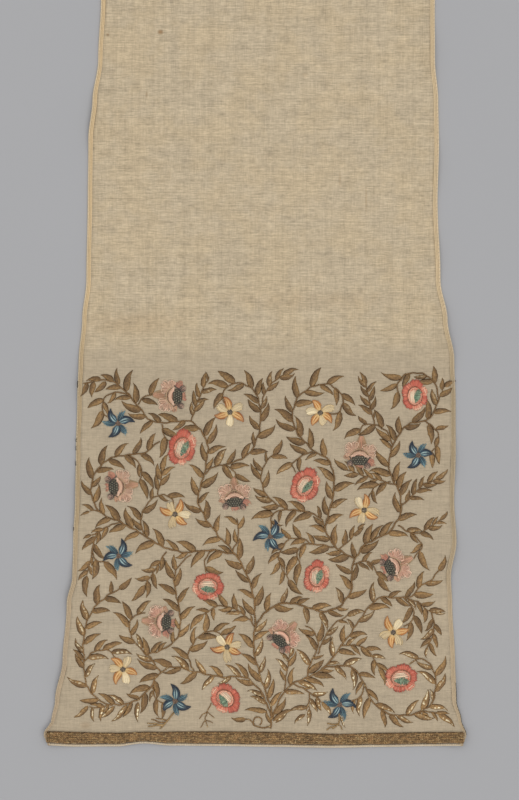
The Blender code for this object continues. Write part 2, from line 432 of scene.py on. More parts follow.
class Graph:
    """A node tree while it is built, with short calls for the nodes it needs."""

    def __init__(self, tree: bpy.types.NodeTree) -> None:
        """Keeps the tree that the calls add to."""
        self.tree = tree

    def add(self, kind: str, inputs: dict[Any, Any] | None = None, **settings: Any) -> bpy.types.Node:
        """Adds a node.

        Args:
            kind: The node's type, as Blender names it.
            inputs: Values or sockets for its inputs, by name or index.
            settings: The node's own properties.

        Returns:
            The new node.
        """
        node = self.tree.nodes.new(kind)
        for key, value in settings.items():
            setattr(node, key, value)
        self.fill(node, inputs or {})
        return node

    def fill(self, node: bpy.types.Node, inputs: dict[Any, Any]) -> None:
        """Links or sets a node's inputs, by name or index."""
        for key, value in inputs.items():
            if isinstance(value, bpy.types.NodeSocket):
                self.tree.links.new(value, node.inputs[key])
            else:
                node.inputs[key].default_value = value

    def math(self, operation: str, *values: Any) -> bpy.types.NodeSocket:
        """The result of a Math node."""
        return self.add("ShaderNodeMath", dict(enumerate(values)), operation=operation).outputs[0]

    def times(self, first: Any, second: Any) -> bpy.types.NodeSocket:
        """Two values multiplied."""
        return self.math("MULTIPLY", first, second)

    def plus(self, first: Any, second: Any) -> bpy.types.NodeSocket:
        """Two values added."""
        return self.math("ADD", first, second)

    def minus(self, first: Any, second: Any) -> bpy.types.NodeSocket:
        """The second value taken from the first."""
        return self.math("SUBTRACT", first, second)

    def vector(self, operation: str, *values: Any) -> bpy.types.NodeSocket:
        """The result of a Vector Math node that gives a vector."""
        inputs = dict(enumerate(values))
        return self.add("ShaderNodeVectorMath", inputs, operation=operation).outputs[0]

    def combine(self, x: Any, y: Any, z: Any) -> bpy.types.NodeSocket:
        """A vector of three values."""
        return self.add("ShaderNodeCombineXYZ", {0: x, 1: y, 2: z}).outputs[0]

    def separate(self, vector: Any) -> list[bpy.types.NodeSocket]:
        """A vector's three values."""
        return list(self.add("ShaderNodeSeparateXYZ", {0: vector}).outputs)

    def spread(
        self, value: Any, low: float, high: float, to_low: float, to_high: float
    ) -> bpy.types.NodeSocket:
        """A value eased from one range into another.

        Args:
            value: The value's socket.
            low: Where the first range starts.
            high: Where the first range ends.
            to_low: What its start becomes.
            to_high: What its end becomes.

        Returns:
            The socket with the eased value.
        """
        inputs = {"Value": value, "From Min": low, "From Max": high, "To Min": to_low, "To Max": to_high}
        return self.add("ShaderNodeMapRange", inputs, interpolation_type="SMOOTHSTEP").outputs[0]

    def noise(self, vector: Any, scale: float, detail: float = 2.0) -> bpy.types.NodeSocket:
        """A noise value round 0.5 at a vector."""
        inputs = {"Vector": vector, "Scale": scale, "Detail": detail}
        return self.add("ShaderNodeTexNoise", inputs).outputs[0]

    def mixed(self, share: Any, first: Any, second: Any) -> bpy.types.NodeSocket:
        """Two colours mixed.

        Args:
            share: How much of the second is taken.
            first: The first colour, as a socket or four numbers.
            second: The second colour, as a socket or four numbers.

        Returns:
            The socket with the mixed colour.
        """
        inputs = {0: share, 6: first, 7: second}
        return self.add("ShaderNodeMix", inputs, data_type="RGBA").outputs[2]

    def scaled(self, colour: Any, tone: Any) -> bpy.types.NodeSocket:
        """A colour, or another vector, times one value."""
        return self.add("ShaderNodeVectorMath", {0: colour, "Scale": tone}, operation="SCALE").outputs[0]


class Group(Graph):
    """A node group with named sockets, built once."""

    kind = ""
    node_kind = ""
    title = ""
    made: dict[str, "Group"] = {}

    def __init__(self) -> None:
        """Makes the group's tree and builds its nodes."""
        super().__init__(bpy.data.node_groups.new(self.title, self.kind))
        self.entry = self.tree.nodes.new("NodeGroupInput")
        self.exit = self.tree.nodes.new("NodeGroupOutput")
        self.build()

    @classmethod
    def get(cls) -> "Group":
        """The one group of this class, made the first time it is asked for."""
        if cls.title not in Group.made:
            Group.made[cls.title] = cls()
        return Group.made[cls.title]

    @classmethod
    def use(cls, graph: Graph, inputs: dict[Any, Any]) -> bpy.types.Node:
        """Places the group in another tree.

        Args:
            graph: The other tree.
            inputs: Values or sockets for the group's inputs.

        Returns:
            The group's node in that tree.
        """
        group = cls.get()
        node = graph.tree.nodes.new(cls.node_kind)
        node.node_tree = group.tree
        graph.fill(node, inputs)
        return node

    def build(self) -> None:
        """Adds the group's sockets and nodes."""
        raise NotImplementedError

    def take(self, name: str, kind: str, default: Any = None) -> bpy.types.NodeSocket:
        """Adds a named input.

        Args:
            name: Its name.
            kind: What it takes, as Blender names its sockets.
            default: Its value where nothing is given.

        Returns:
            Its socket inside the group.
        """
        socket = self.tree.interface.new_socket(name, in_out="INPUT", socket_type="NodeSocket" + kind)
        if default is not None:
            socket.default_value = default
        return self.entry.outputs[name]

    def give(self, name: str, kind: str, value: bpy.types.NodeSocket) -> None:
        """Adds a named output and feeds it."""
        self.tree.interface.new_socket(name, in_out="OUTPUT", socket_type="NodeSocket" + kind)
        self.tree.links.new(value, self.exit.inputs[name])


class GeometryTree(Group):
    """A Geometry Nodes tree that turns a plain mesh of points or lines into a piece."""

    kind = "GeometryNodeTree"
    node_kind = "GeometryNodeGroup"

    @classmethod
    def run(cls, name: str, mesh: bpy.types.Mesh, settings: dict[str, Any]) -> bpy.types.Object:
        """Runs the tree on a mesh and keeps the result as a plain mesh.

        Args:
            name: The new piece's name.
            mesh: What the tree starts from. It is used up.
            settings: Values for the tree's named inputs.

        Returns:
            The piece, with no modifier left on it.
        """
        tree = cls.get().tree
        raw = link_object(name + "_lines", mesh)
        modifier = raw.modifiers.new("form", "NODES")
        modifier.node_group = tree
        sockets = {item.name: item.identifier for item in tree.interface.items_tree if item.in_out == "INPUT"}
        for key, value in settings.items():
            modifier[sockets[key]] = value
        depsgraph = bpy.context.evaluated_depsgraph_get()
        made = bpy.data.meshes.new_from_object(
            raw.evaluated_get(depsgraph), preserve_all_data_layers=True, depsgraph=depsgraph
        )
        bpy.data.objects.remove(raw)
        bpy.data.meshes.remove(mesh)
        made.name = name
        turn_outwards(made)
        return link_object(name, made)

    def curves(self, geometry: bpy.types.NodeSocket) -> bpy.types.NodeSocket:
        """The lines of a mesh as curves whose sideways direction stays level."""
        curve = self.add("GeometryNodeMeshToCurve", {"Mesh": geometry}).outputs[0]
        return self.add("GeometryNodeSetCurveNormal", {"Curve": curve}, mode="Z_UP").outputs[0]

    def attribute(self, name: str, kind: str = "FLOAT") -> bpy.types.NodeSocket:
        """A named value that the points carry."""
        return self.add("GeometryNodeInputNamedAttribute", {"Name": name}, data_type=kind).outputs[0]

    def finished(self, geometry: bpy.types.NodeSocket, material: bpy.types.NodeSocket) -> None:
        """Ends the tree: smooth faces, real instances and a material."""
        smooth = self.add("GeometryNodeSetShadeSmooth", {"Geometry": geometry}).outputs[0]
        real = self.add("GeometryNodeRealizeInstances", {"Geometry": smooth}).outputs[0]
        dressed = self.add("GeometryNodeSetMaterial", {"Geometry": real, "Material": material}).outputs[0]
        self.give("Geometry", "Geometry", dressed)


class LaidThreads(GeometryTree):
    """Lines become single threads, pressed flat."""

    title = "laid_threads"

    def build(self) -> None:
        """A flattened round is swept along each line, as thick as its points say."""
        geometry = self.take("Geometry", "Geometry")
        sides = self.take("Sides", "Int", 4)
        flatness = self.take("Flatness", "Float", 0.6)
        material = self.take("Material", "Material")
        circle = self.add("GeometryNodeCurvePrimitiveCircle", {"Resolution": sides, "Radius": 1.0}).outputs[0]
        squashed = self.add(
            "GeometryNodeTransform", {"Geometry": circle, "Scale": self.combine(1.0, flatness, 1.0)}
        ).outputs[0]
        inputs = {"Curve": self.curves(geometry), "Profile Curve": squashed, "Fill Caps": True}
        inputs["Scale"] = self.attribute("thickness")
        self.finished(self.add("GeometryNodeCurveToMesh", inputs).outputs[0], material)


class TwistedCord(GeometryTree):
    """Lines become two-ply cords: an oval is turned as it is swept."""

    title = "twisted_cord"

    def build(self) -> None:
        """Each line is stepped evenly, tilted by its length, swept and pressed flat."""
        geometry = self.take("Geometry", "Geometry")
        sides = self.take("Sides", "Int", 8)
        step = self.take("Step", "Float", 0.7 * MM)
        pitch = self.take("Pitch", "Float", 2.4 * MM)
        ply = self.take("Ply", "Float", 0.66)
        flatness = self.take("Flatness", "Float", 0.7)
        material = self.take("Material", "Material")
        inputs = {"Curve": self.curves(geometry), "Length": step}
        even = self.add("GeometryNodeResampleCurve", None, mode="LENGTH")
        self.fill(even, inputs)
        run = self.add("GeometryNodeSplineParameter").outputs["Length"]
        tilt = self.times(self.math("DIVIDE", run, pitch), 2 * math.pi)
        tilted = self.add("GeometryNodeSetCurveTilt", {"Curve": even.outputs[0], "Tilt": tilt}).outputs[0]
        circle = self.add("GeometryNodeCurvePrimitiveCircle", {"Resolution": sides, "Radius": 1.0}).outputs[0]
        oval = self.add(
            "GeometryNodeTransform", {"Geometry": circle, "Scale": self.combine(1.0, ply, 1.0)}
        ).outputs[0]
        swept = self.add(
            "GeometryNodeCurveToMesh",
            {"Curve": tilted, "Profile Curve": oval, "Scale": self.attribute("thickness"), "Fill Caps": True},
        ).outputs[0]
        at = self.add("GeometryNodeInputPosition").outputs[0]
        flat = self.vector("MULTIPLY", at, self.combine(1.0, 1.0, flatness))
        pressed = self.add("GeometryNodeSetPosition", {"Geometry": swept, "Position": flat}).outputs[0]
        self.finished(pressed, material)


class StitchRow(GeometryTree):
    """Lines become rows of short stitches, evenly spaced and all at one slant."""

    title = "stitch_row"

    def build(self) -> None:
        """A small rounded stitch stands on each evenly spaced point of a line."""
        geometry = self.take("Geometry", "Geometry")
        spacing = self.take("Spacing", "Float", 1.0 * MM)
        length = self.take("Length", "Float", 2.0 * MM)
        width = self.take("Width", "Float", 0.8 * MM)
        height = self.take("Height", "Float", 0.8 * MM)
        slant = self.take("Slant", "Float", 0.0)
        loose = self.take("Looseness", "Float", 0.12)
        seed = self.take("Seed", "Int", 3)
        material = self.take("Material", "Material")
        points = self.add("GeometryNodeCurveToPoints", None, mode="LENGTH")
        self.fill(points, {"Curve": self.curves(geometry), "Length": spacing})
        tangent = {"Vector": points.outputs["Tangent"]}
        ahead = self.add("FunctionNodeAlignRotationToVector", tangent, axis="X", pivot_axis="Z").outputs[0]
        chance = self.add("FunctionNodeRandomValue", None, data_type="FLOAT")
        self.fill(chance, {"Min": -1.0, "Max": 1.0, "Seed": seed})
        leaning = self.plus(slant, self.times(chance.outputs[1], loose))
        turn = self.add("FunctionNodeEulerToRotation", {0: self.combine(0.0, 0.0, leaning)}).outputs[0]
        turned = self.add(
            "FunctionNodeRotateRotation", {"Rotation": ahead, "Rotate By": turn}, rotation_space="LOCAL"
        ).outputs[0]
        size = self.plus(1.0, self.times(chance.outputs[1], loose))
        half = self.vector("MULTIPLY", self.combine(length, width, height), self.combine(0.5, 0.5, 0.5))
        bead = self.add("GeometryNodeMeshIcoSphere", {"Radius": 1.0, "Subdivisions": 1}).outputs[0]
        inputs = {"Points": points.outputs["Points"], "Instance": bead, "Rotation": turned}
        inputs["Scale"] = self.vector("MULTIPLY", half, self.combine(size, size, 1.0))
        self.finished(self.add("GeometryNodeInstanceOnPoints", inputs).outputs[0], material)


class PaddedLeaves(GeometryTree):
    """Points become padded leaves, each a closed shell with a hooked tip."""

    title = "padded_leaves"
    # Height over the share of the half width: a full middle and a rounded edge.
    relief = [(0.0, 0.94), (0.4, 0.88), (0.74, 0.72), (1.0, 0.0)]
    # How fine the hand work's unevenness is, per metre, and how far it moves a point each way.
    grain = 420.0
    unevenness = (1.3 * MM, 1.3 * MM, 0.0)

    def build(self) -> None:
        """A small closed tube stands at each point, and the point's own values bend it into its leaf."""
        geometry = self.take("Geometry", "Geometry")
        stations = self.take("Stations", "Int", 9)
        around = self.take("Around", "Int", 8)
        material = self.take("Material", "Material")
        line = self.add("GeometryNodeCurvePrimitiveLine", {"Start": (0, 0, 0), "End": (1, 0, 0)}).outputs[0]
        stepped = self.add("GeometryNodeResampleCurve", {"Curve": line, "Count": stations}).outputs[0]
        ring = self.add("GeometryNodeCurvePrimitiveCircle", {"Resolution": around, "Radius": 1.0}).outputs[0]
        inputs = {"Curve": stepped, "Profile Curve": ring, "Fill Caps": True}
        named = self.add("GeometryNodeCurveToMesh", inputs).outputs[0]
        values = self.separate(self.add("GeometryNodeInputPosition").outputs[0])
        for name, value in zip(("leaf_run", "leaf_side", "leaf_top"), values):
            store = self.add("GeometryNodeStoreNamedAttribute", None, data_type="FLOAT", domain="POINT")
            self.fill(store, {"Geometry": named, "Name": name, "Value": value})
            named = store.outputs[0]
        planted = self.add("GeometryNodeInstanceOnPoints", {"Points": geometry, "Instance": named}).outputs[0]
        real = self.add("GeometryNodeRealizeInstances", {"Geometry": planted}).outputs[0]
        shaped = self.add("GeometryNodeSetPosition", {"Geometry": real, "Position": self.place()}).outputs[0]
        self.finished(shaped, material)

    def half_width(self, run: bpy.types.NodeSocket) -> bpy.types.NodeSocket:
        """Half the leaf's width at a share of the way along, fullest before the middle."""
        eased = self.times(self.math("POWER", run, 0.8), math.pi)
        swell = self.math("POWER", self.math("MAXIMUM", 0.0, self.math("SINE", eased)), 0.66)
        taper = self.minus(1.06, self.times(run, 0.3))
        half = self.times(self.times(swell, taper), self.attribute("leaf_width"))
        return self.math("MAXIMUM", half, 0.16 * MM)

    def place(self) -> bpy.types.NodeSocket:
        """Where a point of a leaf lies, from the leaf's own length, width, bow, hook and turn."""
        run = self.attribute("leaf_run")
        side = self.attribute("leaf_side")
        length = self.attribute("leaf_length")
        bowed = self.times(self.math("POWER", run, 2.0), self.attribute("leaf_bow"))
        tip = self.math("MAXIMUM", 0.0, self.math("DIVIDE", self.minus(run, 0.64), 0.36))
        hooked = self.times(self.math("POWER", tip, 2.0), self.attribute("leaf_hook"))
        bend = self.times(self.plus(bowed, hooked), length)
        x = self.times(run, length)
        y = self.plus(bend, self.times(self.half_width(run), side))
        curve = self.add("ShaderNodeFloatCurve", {"Value": self.math("ABSOLUTE", side)})
        line = curve.mapping.curves[0]
        line.points[0].location = self.relief[0]
        line.points[-1].location = self.relief[-1]
        for spot in self.relief[1:-1]:
            line.points.new(*spot)
        curve.mapping.update()
        start = self.math("MINIMUM", 1.0, self.plus(self.times(run, 4.0), 0.4))
        left = self.times(self.minus(1.0, run), 2.2)
        end = self.math("MINIMUM", 1.0, self.plus(left, 0.35))
        upper = self.math("GREATER_THAN", self.attribute("leaf_top"), 0.1)
        high = self.times(self.times(curve.outputs[0], upper), self.times(start, end))
        z = self.times(high, self.attribute("leaf_height"))
        turned = self.add("ShaderNodeVectorRotate", {"Vector": self.combine(x, y, z)}, rotation_type="Z_AXIS")
        self.fill(turned, {"Angle": self.attribute("leaf_turn")})
        placed = self.vector("ADD", turned.outputs[0], self.attribute("leaf_foot", "FLOAT_VECTOR"))
        inputs = {"Vector": placed, "Scale": self.grain, "Detail": 1.0}
        shaken = self.add("ShaderNodeTexNoise", inputs).outputs[1]
        off = self.vector("SUBTRACT", shaken, self.combine(0.5, 0.5, 0.5))
        return self.vector("ADD", placed, self.vector("MULTIPLY", off, self.combine(*self.unevenness)))


# ---------------------------------------------------------------- finishes


class ShaderGroup(Group):
    """A shader node group that several finishes share."""

    kind = "ShaderNodeTree"
    node_kind = "ShaderNodeGroup"


class Weave(ShaderGroup):
    """A fine plain weave: uneven weft dashes, short warp bars, slubs and the threads themselves."""

    title = "plain_weave"
    # How fine each layer of noise is across and along, per metre, and how strong it is.
    layers = [
        (230.0, 1150.0, 0.34),
        (430.0, 1700.0, 0.14),
        (1250.0, 150.0, 0.22),
        (70.0, 900.0, 0.30),
        (110.0, 130.0, 0.2),
        (520.0, 5.0, 0.14),
        (5.0, 700.0, 0.13),
    ]

    def build(self) -> None:
        """Noise drawn out along each thread's way gives the dashes and the bars."""
        vector = self.take("Vector", "Vector")
        slub = self.take("Slub", "Float", 1.0)
        x, y, _ = self.separate(vector)
        layers = []
        for along_x, along_y, share in self.layers:
            drawn = self.combine(self.times(x, along_x), self.times(y, along_y), share * 50)
            layers.append((self.noise(drawn, 1.0), share))
        total = None
        for value, share in layers:
            part = self.times(self.minus(value, 0.5), 2 * share)
            total = part if total is None else self.plus(total, part)
        total = self.times(total, slub)
        drift = self.times(self.noise(vector, 240.0, 1.0), 0.0009)
        weft = self.math("SINE", self.times(self.plus(y, drift), 2 * math.pi / (0.46 * MM)))
        warp = self.math("SINE", self.times(self.plus(x, drift), 2 * math.pi / (0.5 * MM)))
        crossed = self.times(weft, warp)
        self.give("Tone", "Float", self.plus(self.plus(1.0, total), self.times(crossed, 0.03)))
        self.give("Height", "Float", self.plus(self.times(crossed, 0.25), total))


class Ageing(ShaderGroup):
    """Slow uneven patches, as cloth and thread get with age."""

    title = "ageing"

    def build(self) -> None:
        """Two sizes of soft noise make one mask and one tone."""
        vector = self.take("Vector", "Vector")
        size = self.take("Patch size", "Float", 30 * MM)
        amount = self.take("Amount", "Float", 0.06)
        scaled = self.scaled(vector, self.math("DIVIDE", 1.0, size))
        wide = self.noise(scaled, 1.0, 1.0)
        small = self.noise(scaled, 4.3, 2.0)
        both = self.plus(self.times(wide, 0.65), self.times(small, 0.35))
        self.give("Mask", "Float", self.spread(both, 0.38, 0.62, 0.0, 1.0))
        change = self.times(self.minus(both, 0.5), self.times(amount, 4.0))
        self.give("Tone", "Float", self.plus(1.0, change))


class Spun(ShaderGroup):
    """The fine grain of spun thread: short flecks along it, and grains across it."""

    title = "spun_thread"

    def build(self) -> None:
        """Fine noise at two scales gives the tone, and their sum the height."""
        vector = self.take("Vector", "Vector")
        fleck = self.take("Fleck size", "Float", 0.8 * MM)
        amount = self.take("Amount", "Float", 0.2)
        scaled = self.scaled(vector, self.math("DIVIDE", 1.0, fleck))
        flecks = self.noise(scaled, 1.0, 2.0)
        grains = self.noise(scaled, 3.1, 1.0)
        both = self.plus(self.times(flecks, 0.65), self.times(grains, 0.35))
        change = self.times(self.minus(both, 0.5), self.times(amount, 4.0))
        self.give("Tone", "Float", self.plus(1.0, change))
        self.give("Height", "Float", both)


@dataclass(frozen=True)
class Finish:
    """A finish: a Principled surface whose colour, roughness and bump come from nodes."""

    name: str
    roughness: float = 0.8
    metallic: float = 0.0
    sheen: float = 0.0
    bump: float = 0.0
    bump_depth: float = 0.2 * MM
    wear: float = 0.05
    height_range: Point = (0.3, 0.7)
    sheen_roughness: float = 0.4

    def material(self) -> bpy.types.Material:
        """The finish's material."""
        material = bpy.data.materials.new(self.name)
        material.use_nodes = True
        material.node_tree.nodes.clear()
        graph = Graph(material.node_tree)
        inputs = {
            "Roughness": self.roughness,
            "Metallic": self.metallic,
            "Sheen Weight": self.sheen,
            "Sheen Roughness": self.sheen_roughness,
        }
        surface = graph.add("ShaderNodeBsdfPrincipled", inputs)
        output = graph.add("ShaderNodeOutputMaterial")
        material.node_tree.links.new(surface.outputs[0], output.inputs[0])
        vector = graph.add("ShaderNodeTexCoord").outputs["Object"]
        colour, height = self.pattern(graph, vector)
        material.node_tree.links.new(colour, surface.inputs["Base Color"])
        if height is not None:
            low, high = self.roughness + self.wear, self.roughness - self.wear
            worn = graph.spread(height, self.height_range[0], self.height_range[1], low, high)
            material.node_tree.links.new(worn, surface.inputs["Roughness"])
        if self.bump and height is not None:
            inputs = {"Height": height, "Strength": self.bump, "Distance": self.bump_depth}
            bump = graph.add("ShaderNodeBump", inputs)
            material.node_tree.links.new(bump.outputs[0], surface.inputs["Normal"])
        return material

    def pattern(self, graph: Graph, vector: bpy.types.NodeSocket) -> tuple:
        """The colour and the height over the surface."""
        raise NotImplementedError


class DarkMark(NamedTuple):
    """A darker mark on the cloth, most of them old marks and one painted shade: its place, its reach each way
    in millimetres, and its strength.
    """

    along: float
    across: float
    reach_across: float
    reach_along: float
    strength: float


DARK_MARKS = [
    DarkMark(515, -68, 2.4, 2.0, 0.75),
    DarkMark(513, -106, 1.3, 1.1, 0.55),
    DarkMark(470, -78, 0.8, 2.8, 0.35),
    DarkMark(409, 61, 1.0, 6.5, 0.22),
    DarkMark(395, 80, 0.9, 11.0, 0.25),
    DarkMark(484, 36, 2.6, 2.2, 0.16),
    # Painted shade: this wide flat band is the shade of a shallow crease, not an old mark. The next row
    # paints a faint darker band.
    DarkMark(305, -88, 42.0, 9.0, 0.16),
    DarkMark(322, 40, 70.0, 8.0, 0.10),
    DarkMark(16, -122, 4.5, 3.2, 0.22),
    DarkMark(905, 30, 4.0, 3.0, 0.30),
    DarkMark(1240, -52, 2.4, 5.0, 0.30),
    DarkMark(1652, 64, 3.0, 2.4, 0.35),
]


@dataclass(frozen=True)
class GroundFinish(Finish):
    """Unbleached plain weave, a little greyer where it is embroidered, with its old marks and a band of
    painted shade.
    """

    roughness: float = 0.9
    sheen: float = 0.15
    bump: float = 0.35
    bump_depth: float = 0.12 * MM
    plain: Colour = tint(192, 175, 147)
    warm: Colour = tint(190, 170, 137)
    sewn: Colour = tint(178, 162, 137)
    mark: Colour = tint(140, 104, 62)
    slub: float = 1.0

    def pattern(self, graph: Graph, vector: bpy.types.NodeSocket) -> tuple:
        """The cloth's colour with its weave, patches and marks, and the weave's height."""
        age = Ageing.use(graph, {"Vector": vector, "Patch size": 34 * MM, "Amount": 0.05})
        _, y, _ = graph.separate(vector)
        along = graph.plus(y, LENGTH / 2)
        sewn = graph.spread(along, EMBROIDERED_LENGTH - 16 * MM, EMBROIDERED_LENGTH + 22 * MM, 1.0, 0.0)
        slub = graph.spread(sewn, 0.0, 1.0, self.slub, 0.62 * self.slub)
        weave = Weave.use(graph, {"Vector": vector, "Slub": slub})
        colour = graph.mixed(graph.times(age.outputs["Mask"], 0.55), (*self.plain, 1), (*self.warm, 1))
        colour = graph.mixed(graph.times(sewn, 0.9), colour, (*self.sewn, 1))
        # Old marks, and the band of painted shade.
        for dark_mark in DARK_MARKS:
            spot = graph.combine(dark_mark.across * MM, dark_mark.along * MM - LENGTH / 2, 0.0)
            off = graph.vector("SUBTRACT", vector, spot)
            reach = graph.combine(dark_mark.reach_across * MM, dark_mark.reach_along * MM, 1.0)
            far = graph.add(
                "ShaderNodeVectorMath", {0: graph.vector("DIVIDE", off, reach)}, operation="LENGTH"
            ).outputs["Value"]
            mask = graph.spread(far, 0.25, 1.25, dark_mark.strength, 0.0)
            colour = graph.mixed(mask, colour, (*self.mark, 1))
        tone = graph.times(weave.outputs["Tone"], age.outputs["Tone"])
        return graph.scaled(colour, tone), weave.outputs["Height"]


@dataclass(frozen=True)
class EdgingFinish(Finish):
    """Cream silk strips rolled side by side, with a thin olive line between them, a thread and painted shade
    in the dips between the rolls.
    """

    outer: Colour = tint(216, 194, 157)
    inner: Colour = tint(214, 188, 146)
    line: Colour = tint(170, 140, 98)
    faded: Colour = tint(216, 191, 158)
    fading: float = 0.8
    dulling: float = 0.71

    def pattern(self, graph: Graph, vector: bpy.types.NodeSocket) -> tuple:
        """The strips' colours, from the place across the edging that its points carry."""
        place = graph.add("ShaderNodeAttribute", None, attribute_name="strip").outputs["Fac"]
        seam = graph.add("ShaderNodeAttribute", None, attribute_name="seam").outputs["Fac"]
        spun = Spun.use(graph, {"Vector": vector, "Fleck size": 1.1 * MM, "Amount": 0.13})
        age = Ageing.use(graph, {"Vector": vector, "Patch size": 16 * MM, "Amount": 0.09})
        colour = graph.mixed(graph.spread(place, 0.3, 0.6, 0.0, 1.0), (*self.outer, 1), (*self.inner, 1))
        worn = graph.spread(age.outputs["Tone"], 0.94, 1.06, 0.55, 1.0)
        # Painted shade: the olive line darkens the dips between the rolls, and stands for a thread there too.
        colour = graph.mixed(graph.times(seam, worn), colour, (*self.line, 1))
        along = graph.plus(graph.separate(vector)[1], LENGTH / 2)
        worn_pale = graph.spread(along, 60 * MM, 190 * MM, self.fading, 0.0)
        colour = graph.mixed(worn_pale, colour, (*self.faded, 1))
        start, end = EMBROIDERED_LENGTH - 30 * MM, EMBROIDERED_LENGTH + 40 * MM
        dulled = graph.spread(along, start, end, self.dulling, 1.0)
        tone = graph.times(graph.times(spun.outputs["Tone"], age.outputs["Tone"]), dulled)
        return graph.scaled(colour, tone), spun.outputs["Height"]


@dataclass(frozen=True)
class PlainThreadFinish(Finish):
    """Thread of one colour with its spun grain."""

    colour: Colour = tint(220, 196, 158)
    fleck: float = 0.8 * MM
    contrast: float = 0.12

    def pattern(self, graph: Graph, vector: bpy.types.NodeSocket) -> tuple:
        """The thread's colour, uneven along its grain and with age."""
        spun = Spun.use(graph, {"Vector": vector, "Fleck size": self.fleck, "Amount": self.contrast})
        age = Ageing.use(graph, {"Vector": vector, "Patch size": 14 * MM, "Amount": 0.08})
        tone = graph.times(spun.outputs["Tone"], age.outputs["Tone"])
        return graph.scaled(self.colour, tone), spun.outputs["Height"]


@dataclass(frozen=True)
class SilkFinish(Finish):
    """Floss silk in the colours that its threads carry."""

    def pattern(self, graph: Graph, vector: bpy.types.NodeSocket) -> tuple:
        """Each thread's own shade with the silk's fine flecks."""
        shade = graph.add("ShaderNodeAttribute", None, attribute_name="shade").outputs["Color"]
        spun = Spun.use(graph, {"Vector": vector, "Fleck size": 0.55 * MM, "Amount": 0.14})
        return graph.scaled(shade, spun.outputs["Tone"]), spun.outputs["Height"]


@dataclass(frozen=True)
class MetalCordFinish(Finish):
    """Tarnished metal thread wound on silk, in the shades that its cords carry, with painted glints where
    worn metal shows bright.
    """

    # The colour of the painted glints.
    bright: Colour = tint(222, 194, 142)
    rust: Colour = tint(148, 109, 70)
    sparkle: float = 0.25
    low_sparkle: float = 0.25
    upper_tone: float = 1.0
    mottle: float = 0.0

    def pattern(self, graph: Graph, vector: bpy.types.NodeSocket) -> tuple:
        """The cord's own shade, mottled with tarnish and flecked with painted glints, more so near the band.
        """
        shade = graph.add("ShaderNodeAttribute", None, attribute_name="shade").outputs["Color"]
        spun = Spun.use(graph, {"Vector": vector, "Fleck size": 0.9 * MM, "Amount": 0.24})
        age = Ageing.use(graph, {"Vector": vector, "Patch size": 11 * MM, "Amount": 0.16})
        along = graph.plus(graph.separate(vector)[1], LENGTH / 2)
        drawn = graph.vector("MULTIPLY", vector, graph.combine(0.4, 1.0, 1.0))
        blotch = graph.noise(drawn, 1 / (1.1 * MM), 1.0)
        worn = graph.spread(blotch, 0.36, 0.64, 1 - self.mottle, 1 + self.mottle)
        upper = graph.spread(along, 130 * MM, 230 * MM, 1.0, self.upper_tone)
        tone = graph.times(spun.outputs["Tone"], age.outputs["Tone"])
        tone = graph.times(tone, graph.times(worn, upper))
        red = graph.spread(graph.noise(drawn, 1 / (1.9 * MM), 1.0), 0.5, 0.64, 0.0, self.mottle)
        shade = graph.mixed(red, shade, (*self.rust, 1))
        # Painted glints: bright flecks where the noise is high, stronger near the band.
        amount = graph.spread(along, 40 * MM, 120 * MM, self.low_sparkle, self.sparkle)
        fleck = graph.spread(graph.noise(vector, 1 / (1.3 * MM), 1.0), 0.6, 0.72, 0.0, 1.0)
        colour = graph.mixed(graph.times(fleck, amount), graph.scaled(shade, tone), (*self.bright, 1))
        return colour, spun.outputs["Height"]


